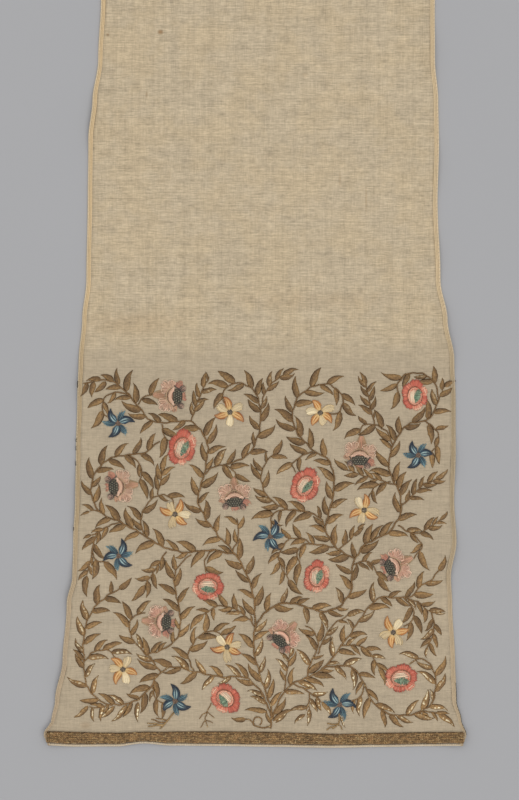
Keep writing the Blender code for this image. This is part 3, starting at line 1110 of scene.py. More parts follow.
@dataclass(frozen=True)
class LeafFinish(Finish):
    """Metal thread rows: a dark cord and painted shade on the back, a dark tip, and painted glints of still
    shining metal.
    """

    dark: Colour = tint(90, 66, 37)
    body: Colour = tint(115, 86, 51)
    pale: Colour = tint(153, 119, 74)
    # The colour of the painted glints.
    glint: Colour = tint(252, 238, 198)

    def pattern(self, graph: Graph, vector: bpy.types.NodeSocket) -> tuple:
        """The leaf's colours: painted light inside the bend, painted shade on its back, its own tone and
        painted glints.
        """

        def own(name: str) -> bpy.types.NodeSocket:
            """A value that the leaf's points carry."""
            return graph.add("ShaderNodeAttribute", None, attribute_name=name).outputs["Fac"]

        run = own("leaf_run")
        tone = own("leaf_tone")
        inner = graph.times(own("leaf_side"), graph.math("SIGN", own("leaf_bow")))
        off = graph.math("ABSOLUTE", inner)
        spun = Spun.use(graph, {"Vector": vector, "Fleck size": 1.3 * MM, "Amount": 0.5})
        rows = graph.combine(
            graph.times(run, 7.0), graph.times(inner, 2.6), graph.times(tone, 31.0)
        )
        grain = graph.noise(rows, 1.0, 1.0)
        patch = graph.times(graph.minus(graph.noise(vector, 1 / (30 * MM), 0.0), 0.56), 0.7)
        # Painted light: the inner side of the bend is paler, mixed with the grain and broad patches.
        lit = graph.plus(graph.times(inner, 0.42), graph.plus(grain, patch))
        colour = graph.mixed(graph.spread(lit, 0.2, 0.8, 0.0, 1.0), (*self.body, 1), (*self.pale, 1))
        # Painted shade: the back of the bend gets the darker rim, which also stands for its dark outline
        # cord.
        back = graph.spread(inner, -0.3, 0.5, 1.0, 0.08)
        rim = graph.times(graph.spread(off, 0.4, 1.0, 0.0, 0.7), back)
        rib = graph.spread(off, 0.0, 0.2, 0.18, 0.0)
        tip = graph.spread(run, 0.74, 1.0, 0.0, 0.5)
        dark_lines_and_shade = graph.math("MAXIMUM", graph.math("MAXIMUM", rim, tip), rib)
        colour = graph.mixed(dark_lines_and_shade, colour, (*self.dark, 1))
        colour = graph.scaled(colour, graph.times(tone, spun.outputs["Tone"]))
        # Painted glints: a broken bright streak along the inner side, in the leaf's middle, as strong as its
        # glint value.
        near = graph.math("ABSOLUTE", graph.minus(inner, 0.38))
        streak = graph.spread(near, 0.16, 0.4, 1.0, 0.0)
        broken = graph.spread(graph.noise(vector, 1 / (1.9 * MM), 1.0), 0.47, 0.58, 0.0, 1.0)
        middle = graph.spread(graph.math("ABSOLUTE", graph.minus(run, 0.56)), 0.28, 0.42, 1.0, 0.0)
        shine = graph.times(graph.times(streak, broken), graph.times(middle, own("leaf_glint")))
        height = graph.plus(graph.times(graph.math("SINE", graph.times(inner, 15.0)), 0.35), grain)
        return graph.mixed(shine, colour, (*self.glint, 1)), graph.plus(height, spun.outputs["Height"])


@dataclass(frozen=True)
class FloorFinish(Finish):
    """Plain matt grey paper."""

    colour: Colour = tint(171, 171, 173)

    def pattern(self, graph: Graph, vector: bpy.types.NodeSocket) -> tuple:
        """One grey with the faintest unevenness."""
        age = Ageing.use(graph, {"Vector": vector, "Patch size": 160 * MM, "Amount": 0.008})
        return graph.scaled(self.colour, age.outputs["Tone"]), None


# ---------------------------------------------------------------- meshes and pieces


def turn_outwards(mesh: bpy.types.Mesh) -> None:
    """Turns every face of a mesh of closed shells outwards."""
    shape = bmesh.new()
    shape.from_mesh(mesh)
    bmesh.ops.recalc_face_normals(shape, faces=shape.faces)
    shape.to_mesh(mesh)
    shape.free()


def new_mesh(name: str, points: Array, faces: Array | list) -> bpy.types.Mesh:
    """A smooth mesh of those points and faces."""
    mesh = bpy.data.meshes.new(name)
    mesh.from_pydata(np.asarray(points).tolist(), [], np.asarray(faces).tolist())
    mesh.shade_smooth()
    return mesh


def carry(mesh: bpy.types.Mesh, name: str, kind: str, values: Array) -> None:
    """Stores a value for each point of a mesh under a name."""
    stored = mesh.attributes.new(name, kind, "POINT")
    key = {"FLOAT": "value", "FLOAT_VECTOR": "vector", "FLOAT_COLOR": "color"}[kind]
    stored.data.foreach_set(key, np.asarray(values, dtype=np.float32).ravel())


def link_object(name: str, data: Any) -> bpy.types.Object:
    """A new object in the scene that shows a mesh, a lamp or a camera.

    Args:
        name: The object's name.
        data: What it shows.

    Returns:
        The object.
    """
    thing = bpy.data.objects.new(name, data)
    bpy.context.scene.collection.objects.link(thing)
    return thing


def settle(piece: bpy.types.Object, slot: str, *replaced: str) -> bpy.types.Object:
    """Makes an object a piece of the sash and reports it.

    Args:
        piece: The object, whose place is in its mesh.
        slot: The record's material slot that it belongs to. It is not used.
        replaced: The CAD nodes that it stands for.

    Returns:
        The same object.
    """
    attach(piece, "root")
    if replaced:
        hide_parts(*replaced)
    count = sum(len(face.vertices) - 2 for face in piece.data.polygons)
    log.info("%s: %d triangles", piece.name, count)
    return piece


def loft(name: str, rings: Array, material: bpy.types.Material) -> bpy.types.Object:
    """A closed tube through rings of points.

    Args:
        name: The object's name.
        rings: The points, as stations by points round by x, y and z.
        material: What it is made of.

    Returns:
        The object.
    """
    stations, around = rings.shape[:2]
    at = np.arange(stations * around).reshape(stations, around)
    after = np.roll(at, -1, axis=1)
    faces = np.stack([at[:-1], after[:-1], after[1:], at[1:]], axis=-1).reshape(-1, 4).tolist()
    faces += [at[0][::-1].tolist(), at[-1].tolist()]
    mesh = bpy.data.meshes.new(name)
    mesh.from_pydata(rings.reshape(-1, 3).tolist(), [], faces)
    mesh.shade_smooth()
    turn_outwards(mesh)
    mesh.materials.append(material)
    return link_object(name, mesh)


@dataclass
class Strand:
    """One laid thread. Its points are across, along and above the cloth, in metres."""

    points: Array
    thickness: Array
    shade: Array

    @classmethod
    def guide(
        cls, across: Array, along: Any, above: float = 0.0, shade: Colour = (1.0, 1.0, 1.0)
    ) -> "Strand":
        """A level line for stitches to follow, of one shade and with a thickness of 1.

        Args:
            across: Where its points are across, in metres.
            along: Where they are along, as one value or one for each point, in metres.
            above: How high it lies, in metres.
            shade: Its shade.

        Returns:
            The line as a strand.
        """
        count = len(across)
        points = np.column_stack([across, np.broadcast_to(along, (count,)), np.full(count, above)])
        return cls(points, np.ones(count), np.tile(shade, (count, 1)))


def strand_mesh(name: str, strands: Sequence[Strand]) -> bpy.types.Mesh:
    """The lines of many threads as one mesh, whose points carry thickness and shade."""
    points = np.vstack([strand.points for strand in strands])
    counts = np.array([len(strand.points) for strand in strands])
    starts = np.arange(len(points))
    last = np.cumsum(counts) - 1
    first = np.delete(starts, last)
    placed = np.column_stack([points[:, 0], FORM.forward(points[:, 0], points[:, 1]), points[:, 2]])
    mesh = bpy.data.meshes.new(name)
    mesh.vertices.add(len(points))
    mesh.vertices.foreach_set("co", placed.ravel())
    mesh.edges.add(len(first))
    mesh.edges.foreach_set("vertices", np.column_stack([first, first + 1]).ravel())
    carry(mesh, "thickness", "FLOAT", np.concatenate([strand.thickness for strand in strands]))
    shades = np.vstack([strand.shade for strand in strands])
    carry(mesh, "shade", "FLOAT_COLOR", np.column_stack([shades, np.ones(len(shades))]))
    mesh.update()
    return mesh


# ---------------------------------------------------------------- the sewn parts


@dataclass
class GroundCloth:
    """The long ground cloth: a thin closed shell on the sash's own lie."""

    columns: int = 100
    fine_until: float = 600 * MM
    fine_step: float = 3.2 * MM
    coarse_step: float = 8.5 * MM
    finish: GroundFinish = GroundFinish("ground_cloth")

    def build(self) -> bpy.types.Object:
        """Lays the upper and the under face on one grid and closes them round the edge."""
        along = divided(CLOTH_START, self.fine_until, self.fine_step)
        along += divided(self.fine_until, CLOTH_END, self.coarse_step)[1:]
        along = np.array(along)[:, None]
        left, right = FORM.cloth_edges(along)
        share = np.linspace(0, 1, self.columns + 1)[None, :]
        across = left + (right - left) * share
        along = np.broadcast_to(along, across.shape)
        forward = FORM.forward(across, along)
        upper = np.stack([across, forward, FORM.top(across, along)], axis=-1)
        under = np.stack([across, forward, FORM.lift(across, along)], axis=-1)
        points = np.vstack([upper.reshape(-1, 3), under.reshape(-1, 3)])
        return self.closed(points, across.shape)

    def closed(self, points: Array, shape: tuple[int, int]) -> bpy.types.Object:
        """Makes the object from the two grids' points.

        Args:
            points: The upper grid's points, then the lower one's.
            shape: How many points one grid has along and across.

        Returns:
            The cloth as a piece.
        """
        top = np.arange(shape[0] * shape[1]).reshape(shape)
        low = top + top.size
        upper = np.stack([top[:-1, :-1], top[:-1, 1:], top[1:, 1:], top[1:, :-1]], axis=-1).reshape(-1, 4)
        under = np.stack([low[:-1, :-1], low[1:, :-1], low[1:, 1:], low[:-1, 1:]], axis=-1).reshape(-1, 4)
        edges = (
            (top[0], low[0]),
            (top[-1][::-1], low[-1][::-1]),
            (top[::-1, 0], low[::-1, 0]),
            (top[:, -1], low[:, -1]),
        )
        walls = [np.stack([a[:-1], b[:-1], b[1:], a[1:]], axis=-1) for a, b in edges]
        faces = np.vstack([upper, under, *walls])
        mesh = new_mesh("ground_cloth", points, faces)
        mesh.materials.append(self.finish.material())
        return settle(link_object("ground_cloth", mesh), "ground_cloth", "cloth")


class DarkEdgeLine(NamedTuple):
    """A thin dark line on a side's outer edge: where it starts and ends along, and its width, in millimetres.
    """

    side: Side
    start: float
    end: float
    width: float


DARK_EDGE_LINES = [
    DarkEdgeLine(Side.LEFT, 259, 264, 0.9),
    DarkEdgeLine(Side.LEFT, 220, 222.5, 0.8),
    DarkEdgeLine(Side.LEFT, 214, 217, 0.8),
    DarkEdgeLine(Side.LEFT, 203, 206, 0.8),
    DarkEdgeLine(Side.LEFT, 156, 159, 0.7),
    # A thin dark line up the right outer edge near the band.
    DarkEdgeLine(Side.RIGHT, 9, 47, 0.62),
]


@dataclass
class SideEdging:
    """A side's edging: silk strips rolled over the cloth's edge and overcast."""

    side: Side
    step: float = 2.6 * MM
    overcast_spacing: float = 2.7 * MM
    dark_edge_shade: Colour = tint(76, 66, 50)
    left_finish: EdgingFinish = EdgingFinish("left_side_silk", roughness=0.6, sheen=0.2, bump=0.3)
    right_finish: EdgingFinish = EdgingFinish(
        "right_side_silk",
        roughness=0.65,
        sheen=0.2,
        bump=0.3,
        outer=tint(220, 198, 162),
        inner=tint(210, 188, 150),
        line=tint(180, 150, 114),
        faded=tint(232, 206, 168),
        dulling=0.65,
    )
    left_overcast: Colour = tint(204, 184, 148)
    right_overcast: Colour = tint(192, 173, 142)
    # Across from the outer edge as a share of the width, height as a share of the full height,
    # and how much of the olive line shows there, a thread and painted shade in the dips. The last rows roll
    # over the cloth's edge.
    section = [
        (0.00, 0.0, 0.0),
        (0.00, 0.16, 0.0),
        (0.06, 0.52, 0.0),
        (0.15, 0.84, 0.0),
        (0.27, 1.0, 0.0),
        (0.38, 0.9, 0.1),
        (0.45, 0.62, 1.0),
        (0.52, 0.84, 0.2),
        (0.62, 0.95, 0.0),
        (0.73, 0.84, 0.1),
        (0.80, 0.60, 0.9),
        (0.87, 0.74, 0.1),
        (0.97, 0.75, 0.0),
        (1.07, 0.73, 0.2),
        (1.14, 0.66, 0.4),
        (1.14, 0.52, 0.4),
        (1.00, 0.30, 0.4),
        (1.00, 0.0, 0.4),
    ]

    def build(self) -> list[bpy.types.Object]:
        """Sweeps the strips' section along the side and sews the overcast stitches."""
        name = self.side.name.lower()
        along = np.array(divided(0, LENGTH, self.step))[:, None]
        section = np.array(self.section)
        outer = FORM.outer_edge(self.side, along)
        width = FORM.edging_width(along)
        way = self.side.value
        rolled_over = EDGING_WIDTH * np.maximum(0.0, section[:, 0] - 1)
        across = outer + way * (width * np.minimum(1.0, section[:, 0]) + rolled_over)
        wobble = 1 + 0.05 * np.sin(along * 2 * math.pi / (23 * MM))
        wobble += 0.04 * np.sin(along * 2 * math.pi / (7.7 * MM))
        rest = FORM.edging_rest(self.side, along)
        height = rest + EDGING_HEIGHT * section[:, 1] * np.minimum(1.0, wobble)
        full = np.broadcast_to(along, across.shape)
        rings = np.stack([across, FORM.forward(across, full), height], axis=-1)
        finish = self.left_finish if self.side is Side.LEFT else self.right_finish
        strip = loft(name + "_edging", rings, finish.material())
        carry(strip.data, "strip", "FLOAT", np.tile(section[:, 0], len(along)))
        carry(strip.data, "seam", "FLOAT", np.tile(section[:, 2], len(along)))
        settle(strip, "side_silk", "edging_" + name)
        return [strip, self.overcasting(name), self.dark_edge_lines(name)]

    def dark_edge_lines(self, name: str) -> bpy.types.Object:
        """The few thin dark lines along the outer edge.

        Args:
            name: What the piece's name starts with.

        Returns:
            The lines as one piece.
        """
        strands = []
        for row in DARK_EDGE_LINES:
            if row.side is self.side:
                along = np.array(divided(row.start, row.end, 2.0)) * MM
                across = FORM.outer_edge(self.side, along) + self.side.value * 0.3 * MM
                strand = Strand.guide(across, along, shade=self.dark_edge_shade)
                strand.thickness *= row.width * MM / 2
                strands.append(strand)
        finish = SilkFinish("dark_edge_line", roughness=0.7)
        settings = {"Sides": 6, "Flatness": 0.7, "Material": finish.material()}
        lines = strand_mesh(name + "_dark_edge_guides", strands)
        threads = LaidThreads.run(name + "_dark_edge_lines", lines, settings)
        FORM.drape(threads.data, lambda x, y: FORM.edging_rest(self.side, y) + 0.8 * EDGING_HEIGHT)
        return settle(threads, "side_silk")

    def overcasting(self, name: str) -> bpy.types.Object:
        """The small slanting stitches that hold the outer strip.

        Args:
            name: What the piece's name starts with.

        Returns:
            The stitches as one piece.
        """
        along = np.array(divided(4 * MM, LENGTH - 4 * MM, 4 * MM))
        way = self.side.value
        across = FORM.outer_edge(self.side, along) + way * FORM.edging_width(along) * 0.26
        line = Strand.guide(across, along)
        shade = self.left_overcast if self.side is Side.LEFT else self.right_overcast
        finish = PlainThreadFinish("overcast_silk", 0.55, sheen=0.2, bump=0.2, colour=shade)
        settings = {
            "Spacing": self.overcast_spacing,
            "Length": 1.4 * MM,
            "Width": 0.6 * MM,
            "Height": 0.45 * MM,
            "Slant": math.radians(62 * way),
            "Seed": 5 + way,
            "Material": finish.material(),
        }
        lines = strand_mesh(name + "_overcast_line", [line])
        stitches = StitchRow.run(name + "_overcasting", lines, settings)
        FORM.drape(stitches.data, lambda x, y: FORM.edging_rest(self.side, y) + 0.88 * EDGING_HEIGHT)
        return settle(stitches, "side_silk")


class BandDip(NamedTuple):
    """How far the band's upper edge dips towards its lower one, at one place across."""

    across: float
    dip: float


BAND_DIPS = [
    BandDip(-140, 0.5),
    BandDip(-111, 1.4),
    BandDip(-83, 1.7),
    BandDip(-54, 0.8),
    BandDip(-20, 0.7),
    BandDip(4, 0.7),
    BandDip(32, 1.3),
    BandDip(61, 1.9),
    BandDip(90, 1.5),
    BandDip(119, 1.2),
    BandDip(148, 0.9),
]


@dataclass
class EndBand:
    """The couched metal band: a padded base with cords laid side by side and tied down."""

    base_height: float = 1.45 * MM
    cord_radius: float = 0.92 * MM
    cord_shades: tuple[Colour, ...] = (
        tint(140, 113, 76),
        tint(148, 118, 78),
        tint(134, 105, 66),
        tint(146, 114, 76),
        tint(138, 107, 70),
    )
    # A dark cord's colour, which also paints the shade along the band's upper edge.
    top_cord_and_edge_shade: Colour = tint(92, 70, 42)
    tie_shade: Colour = tint(156, 125, 82)
    seam_shade: Colour = tint(128, 99, 62)
    cord_finish: MetalCordFinish = MetalCordFinish(
        "band_cord", 0.5, metallic=0.25, bump=0.4, sparkle=0.5, low_sparkle=0.5, mottle=0.28
    )

    def build(self) -> list[bpy.types.Object]:
        """Makes the base, the cords and their ties."""
        return [self.base(), self.cords(), self.ties(True), self.ties(False)]

    def span(self, step: float) -> Array:
        """Places across the band, between the side edgings."""
        left, right = FORM.cloth_edges(np.array(BAND_START + BAND_WIDTH / 2))
        return np.array(divided(float(left) + SEAM_GAP, float(right) - SEAM_GAP, step))

    @staticmethod
    def place(across: Array, width: Any) -> Array:
        """How far along a place on the band is, from its width on the band where nothing dips.

        Args:
            across: Where it is across, in metres.
            width: How far it is from the band's lower edge, in metres.

        Returns:
            The places along, in metres.
        """
        dip = FORM.eased(BAND_DIPS, "across", "dip", across)
        return BAND_START + width * (1 - dip / BAND_WIDTH)

    def base(self) -> bpy.types.Object:
        """The flat padding under the cords, lying on the cloth."""
        across = self.span(3 * MM)[:, None]
        section = np.array(
            [(0, 0), (0, 0.7), (0.03, 1), (0.25, 1), (0.5, 1), (0.75, 1), (0.97, 1), (1, 0.7), (1, 0)]
        )
        along = self.place(across, BAND_WIDTH * section[:, 0])
        over = np.broadcast_to(across, along.shape)
        low = FORM.lift(over, along) + CLOTH_THICKNESS + SEAM_GAP
        height = low + (self.base_height - CLOTH_THICKNESS) * section[:, 1]
        rings = np.stack([over, FORM.forward(over, along), height], axis=-1)
        finish = PlainThreadFinish("band_padding", 0.7, colour=tint(120, 94, 58), bump=0.3, contrast=0.25)
        return settle(loft("band_padding", rings, finish.material()), "metal_thread", "end_band")

    def cords(self) -> bpy.types.Object:
        """The twisted cords, and the dark thinner one along the upper edge, whose dark colour also paints the
        shade there.
        """
        across = self.span(2 * MM)
        draw = random.Random(31)
        strands = []
        pitch = (BAND_WIDTH - 0.9 * MM) / len(self.cord_shades)
        for i, shade in enumerate(self.cord_shades):
            along = self.place(across, pitch * (i + 0.5))
            strands.append(self.cord_line(across, along, self.cord_radius, shade, draw))
        # The dark top cord, also painted shade along the upper edge.
        along = self.place(across, BAND_WIDTH - 0.5 * MM)
        strands.append(self.cord_line(across, along, 0.55 * MM, self.top_cord_and_edge_shade, draw))
        settings = {
            "Step": 0.62 * MM,
            "Pitch": 2.3 * MM,
            "Ply": 0.7,
            "Flatness": 0.45,
            "Sides": 8,
            "Material": self.cord_finish.material(),
        }
        cords = TwistedCord.run("band_cords", strand_mesh("band_cord_lines", strands), settings)
        FORM.drape(cords.data, lambda x, y: FORM.lift(x, y) + self.base_height + SEAM_GAP)
        return settle(cords, "metal_thread")

    @staticmethod
    def cord_line(across: Array, along: Array, radius: float, shade: Colour, draw: random.Random) -> Strand:
        """One cord across the band, a little uneven in its shade."""
        points = np.column_stack([across, along, np.full(len(across), radius * 0.8)])
        tones = np.array([draw.gauss(1, 0.1) for _ in across])
        smooth = np.convolve(tones, np.ones(5) / 5, mode="same")
        smooth[:3] = smooth[-3:] = 1
        smooth *= 1 - 0.4 * np.exp(-np.arange(len(across)) / 5)
        warm = np.array([draw.gauss(0, 0.04) for _ in across])
        warm = np.convolve(warm, np.ones(9) / 9, mode="same") * 3
        shades = np.outer(smooth, shade) * np.column_stack([1 + warm, np.ones(len(across)), 1 - warm])
        return Strand(points, np.full(len(across), radius), shades)

    def ties(self, forward: bool) -> bpy.types.Object:
        """The short slanting stitches over the cords, or leaning back over the seams between them."""
        across = self.span(4 * MM)
        pitch = (BAND_WIDTH - 0.9 * MM) / len(self.cord_shades)
        rows = []
        for i in range(len(self.cord_shades) + (0 if forward else 1)):
            drift = 0.16 * MM * np.sin(across * 2 * math.pi / ((19 + 4 * i) * MM) + 2 * i)
            along = self.place(across, pitch * (i + 0.5 if forward else max(0.2, i))) + drift
            shade = self.tie_shade if forward else self.seam_shade
            rows.append(Strand.guide(across, along, 0.66 * MM, shade))
        name = "band_couching" if forward else "band_couching_back"
        finish = MetalCordFinish(name, 0.5, metallic=0.2, bump=0.2, sparkle=0.6, low_sparkle=0.6, mottle=0.34)
        settings = {
            "Spacing": (1.25 if forward else 1.1) * MM,
            "Length": 1.7 * MM,
            "Width": 0.78 * MM,
            "Height": (0.5 if forward else 0.6) * MM,
            "Slant": math.radians(34 if forward else -24),
            "Looseness": 0.45,
            "Seed": 8 if forward else 9,
            "Material": finish.material(),
        }
        ties = StitchRow.run(name, strand_mesh("band_tie_lines", rows), settings)
        FORM.drape(ties.data, lambda x, y: FORM.lift(x, y) + self.base_height + SEAM_GAP)
        return settle(ties, "metal_thread")


@dataclass
class EndEdging:
    """The cream whipped edge below the band: a soft core with silk wound over it."""

    wrap_spacing: float = 1.25 * MM
    core_colour: Colour = tint(198, 180, 152)
    wrap_colour: Colour = tint(232, 216, 190)

    def build(self) -> list[bpy.types.Object]:
        """Makes the core and the wraps."""
        left, right = FORM.outer_edges(np.array(END_EDGING_WIDTH / 2))
        inset = EDGING_WIDTH_AT_BAND + SEAM_GAP
        across = np.array(divided(float(left) + inset, float(right) - inset, 2 * MM))[:, None]
        angle = np.linspace(0, 2 * math.pi, 10, endpoint=False)
        half = END_EDGING_WIDTH / 2
        along = half - half * 0.96 * np.cos(angle) + 0 * across
        over = np.broadcast_to(across, along.shape)
        rest = FORM.lift(over, np.full(over.shape, half))
        height = rest + END_EDGING_HEIGHT * 0.94 * (0.5 + 0.5 * np.sin(angle))
        rings = np.stack([over, FORM.forward(over, np.maximum(along, 0)), height], axis=-1)
        finish = PlainThreadFinish("edge_core", 0.7, colour=self.core_colour, contrast=0.15)
        core = settle(loft("end_edge_core", rings, finish.material()), "cream_silk", "end_edging")
        return [core, self.wraps(across[:, 0])]

    def wraps(self, across: Array) -> bpy.types.Object:
        """The silk wound over the core, close side by side.

        Args:
            across: Where the core's points are across, in metres.

        Returns:
            The wraps as one piece.
        """
        line = Strand.guide(across, END_EDGING_WIDTH / 2)
        finish = PlainThreadFinish(
            "whipping_silk",
            0.5,
            sheen=0.2,
            bump=0.25,
            colour=self.wrap_colour,
            fleck=1.2 * MM,
            contrast=0.16,
        )
        settings = {
            "Spacing": self.wrap_spacing,
            "Length": END_EDGING_WIDTH * 1.02,
            "Width": 1.0 * MM,
            "Height": END_EDGING_HEIGHT,
            "Slant": math.radians(74),
            "Seed": 2,
            "Material": finish.material(),
        }
        wraps = StitchRow.run("end_edge_whipping", strand_mesh("end_wrap_line", [line]), settings)
        FORM.drape(wraps.data, lambda x, y: FORM.lift(x, y) + END_EDGING_HEIGHT / 2 + 0.02 * MM)
        return settle(wraps, "cream_silk")


@dataclass
class FarHem:
    """The rolled hem at the plain end, with its running stitches."""

    # Along the sash as a share of the roll's width, and height as a share of its full height.
    section = [
        (0, 0),
        (0, 0.35),
        (0.06, 0.62),
        (0.3, 0.68),
        (0.48, 0.72),
        (0.56, 0.8),
        (0.72, 1),
        (0.9, 0.86),
        (1, 0.45),
        (1, 0),
    ]
    stitch_spacing: float = 4.2 * MM
    finish: GroundFinish = GroundFinish("hem_cloth")

    def build(self) -> list[bpy.types.Object]:
        """Makes the roll and its stitches."""
        middle = LENGTH - FAR_HEM_WIDTH / 2
        left, right = FORM.cloth_edges(np.array(middle))
        across = np.array(divided(float(left), float(right), 3 * MM))[:, None]
        section = np.array(self.section)
        along = CLOTH_END + SEAM_GAP + FAR_HEM_WIDTH * section[:, 0] + 0 * across
        over = np.broadcast_to(across, along.shape)
        uneven = 1 - 0.06 * (1 + np.sin(across * 2 * math.pi / (17 * MM))) / 2
        height = FORM.lift(over, np.full(over.shape, middle)) + FAR_HEM_HEIGHT * section[:, 1] * uneven
        rings = np.stack([over, FORM.forward(over, along), height], axis=-1)
        roll = settle(loft("far_hem_roll", rings, self.finish.material()), "ground_cloth", "far_hem")
        return [roll, self.stitches(across[:, 0])]

    def stitches(self, across: Array) -> bpy.types.Object:
        """The running stitches along the roll.

        Args:
            across: Where the roll's points are across, in metres.

        Returns:
            The stitches as one piece.
        """
        line = Strand.guide(across, CLOTH_END + SEAM_GAP + FAR_HEM_WIDTH * 0.3)
        finish = PlainThreadFinish("hem_thread", 0.6, colour=tint(214, 192, 154), bump=0.2)
        settings = {
            "Spacing": self.stitch_spacing,
            "Length": 2.2 * MM,
            "Width": 0.45 * MM,
            "Height": 0.4 * MM,
            "Slant": math.radians(8),
            "Seed": 4,
            "Material": finish.material(),
        }
        stitches = StitchRow.run("far_hem_stitches", strand_mesh("hem_line", [line]), settings)
        FORM.drape(stitches.data, lambda x, y: FORM.lift(x, y) + 0.68 * FAR_HEM_HEIGHT)
        return settle(stitches, "ground_cloth")


# ---------------------------------------------------------------- the embroidery's chart


class BloomKind(Enum):
    """The four flowers."""

    CORAL = "coral"
    ROSE = "rose"
    GOLD = "gold"
    BLUE = "blue"


class Bloom(NamedTuple):
    """A flower: its middle in millimetres, its turn in degrees, its size, and which way it swirls."""

    kind: BloomKind
    across: float
    along: float
    turn: float
    wide: float
    tall: float
    swirl: int


BLOOMS = [
    Bloom(BloomKind.CORAL, -52.5, 215.5, -12, 20.6, 26.4, 1),
    Bloom(BloomKind.CORAL, 115, 253, 0, 19.0, 22.4, 1),
    Bloom(BloomKind.CORAL, 36, 188.5, -27, 20.5, 25.5, 1),
    Bloom(BloomKind.CORAL, -34, 116, -84, 21.0, 23.5, -1),
    Bloom(BloomKind.CORAL, 44.5, 123, -4, 19.6, 24.0, 1),
    Bloom(BloomKind.CORAL, -21.5, 35.5, -132, 20.6, 23.0, -1),
    Bloom(BloomKind.CORAL, 105, 50, -80, 21.0, 24.0, 1),
    Bloom(BloomKind.ROSE, -61, 253, 88, 24.0, 26.0, 1),
    Bloom(BloomKind.ROSE, -96.5, 188, -86, 24.0, 26.0, -1),
    Bloom(BloomKind.ROSE, -15, 182, 4, 25.0, 26.0, 1),
    Bloom(BloomKind.ROSE, 75.5, 212, -3, 24.0, 25.0, 1),
    Bloom(BloomKind.ROSE, -69, 91, 84, 25.0, 25.0, -1),
    Bloom(BloomKind.ROSE, 21, 81, -40, 25.0, 26.0, 1),
    Bloom(BloomKind.ROSE, 102, 131.5, -68, 25.0, 26.0, -1),
    Bloom(BloomKind.GOLD, -18, 241.5, 6, 22.0, 22.0, 1),
    Bloom(BloomKind.GOLD, -57.5, 168, -32, 22.0, 22.0, 1),
    Bloom(BloomKind.GOLD, 47, 241, 14, 21.0, 21.0, -1),
    Bloom(BloomKind.GOLD, 78.5, 171, -22, 22.0, 22.0, 1),
    Bloom(BloomKind.GOLD, -95, 56.5, 24, 22.0, 22.0, 1),
    Bloom(BloomKind.GOLD, -20, 72.5, -8, 22.0, 22.0, -1),
    Bloom(BloomKind.GOLD, 99.5, 83, 36, 21.5, 21.5, 1),
    Bloom(BloomKind.BLUE, -98.5, 233.5, 32, 23.0, 23.0, -1),
    Bloom(BloomKind.BLUE, -98, 138, -12, 23.0, 23.0, 1),
    Bloom(BloomKind.BLUE, 117.5, 210.5, 24, 22.0, 22.0, -1),
    Bloom(BloomKind.BLUE, 11, 152, -19, 24.0, 24.0, 1),
    Bloom(BloomKind.BLUE, -57.5, 33.5, 8, 23.0, 23.0, 1),
    Bloom(BloomKind.BLUE, 61, 31, 20, 24.0, 24.0, -1),
]


class Vine(NamedTuple):
    """A stem: what it ends in, its width and its points across and along, all in millimetres."""

    ending: Ending
    width: float
    points: list[Point]


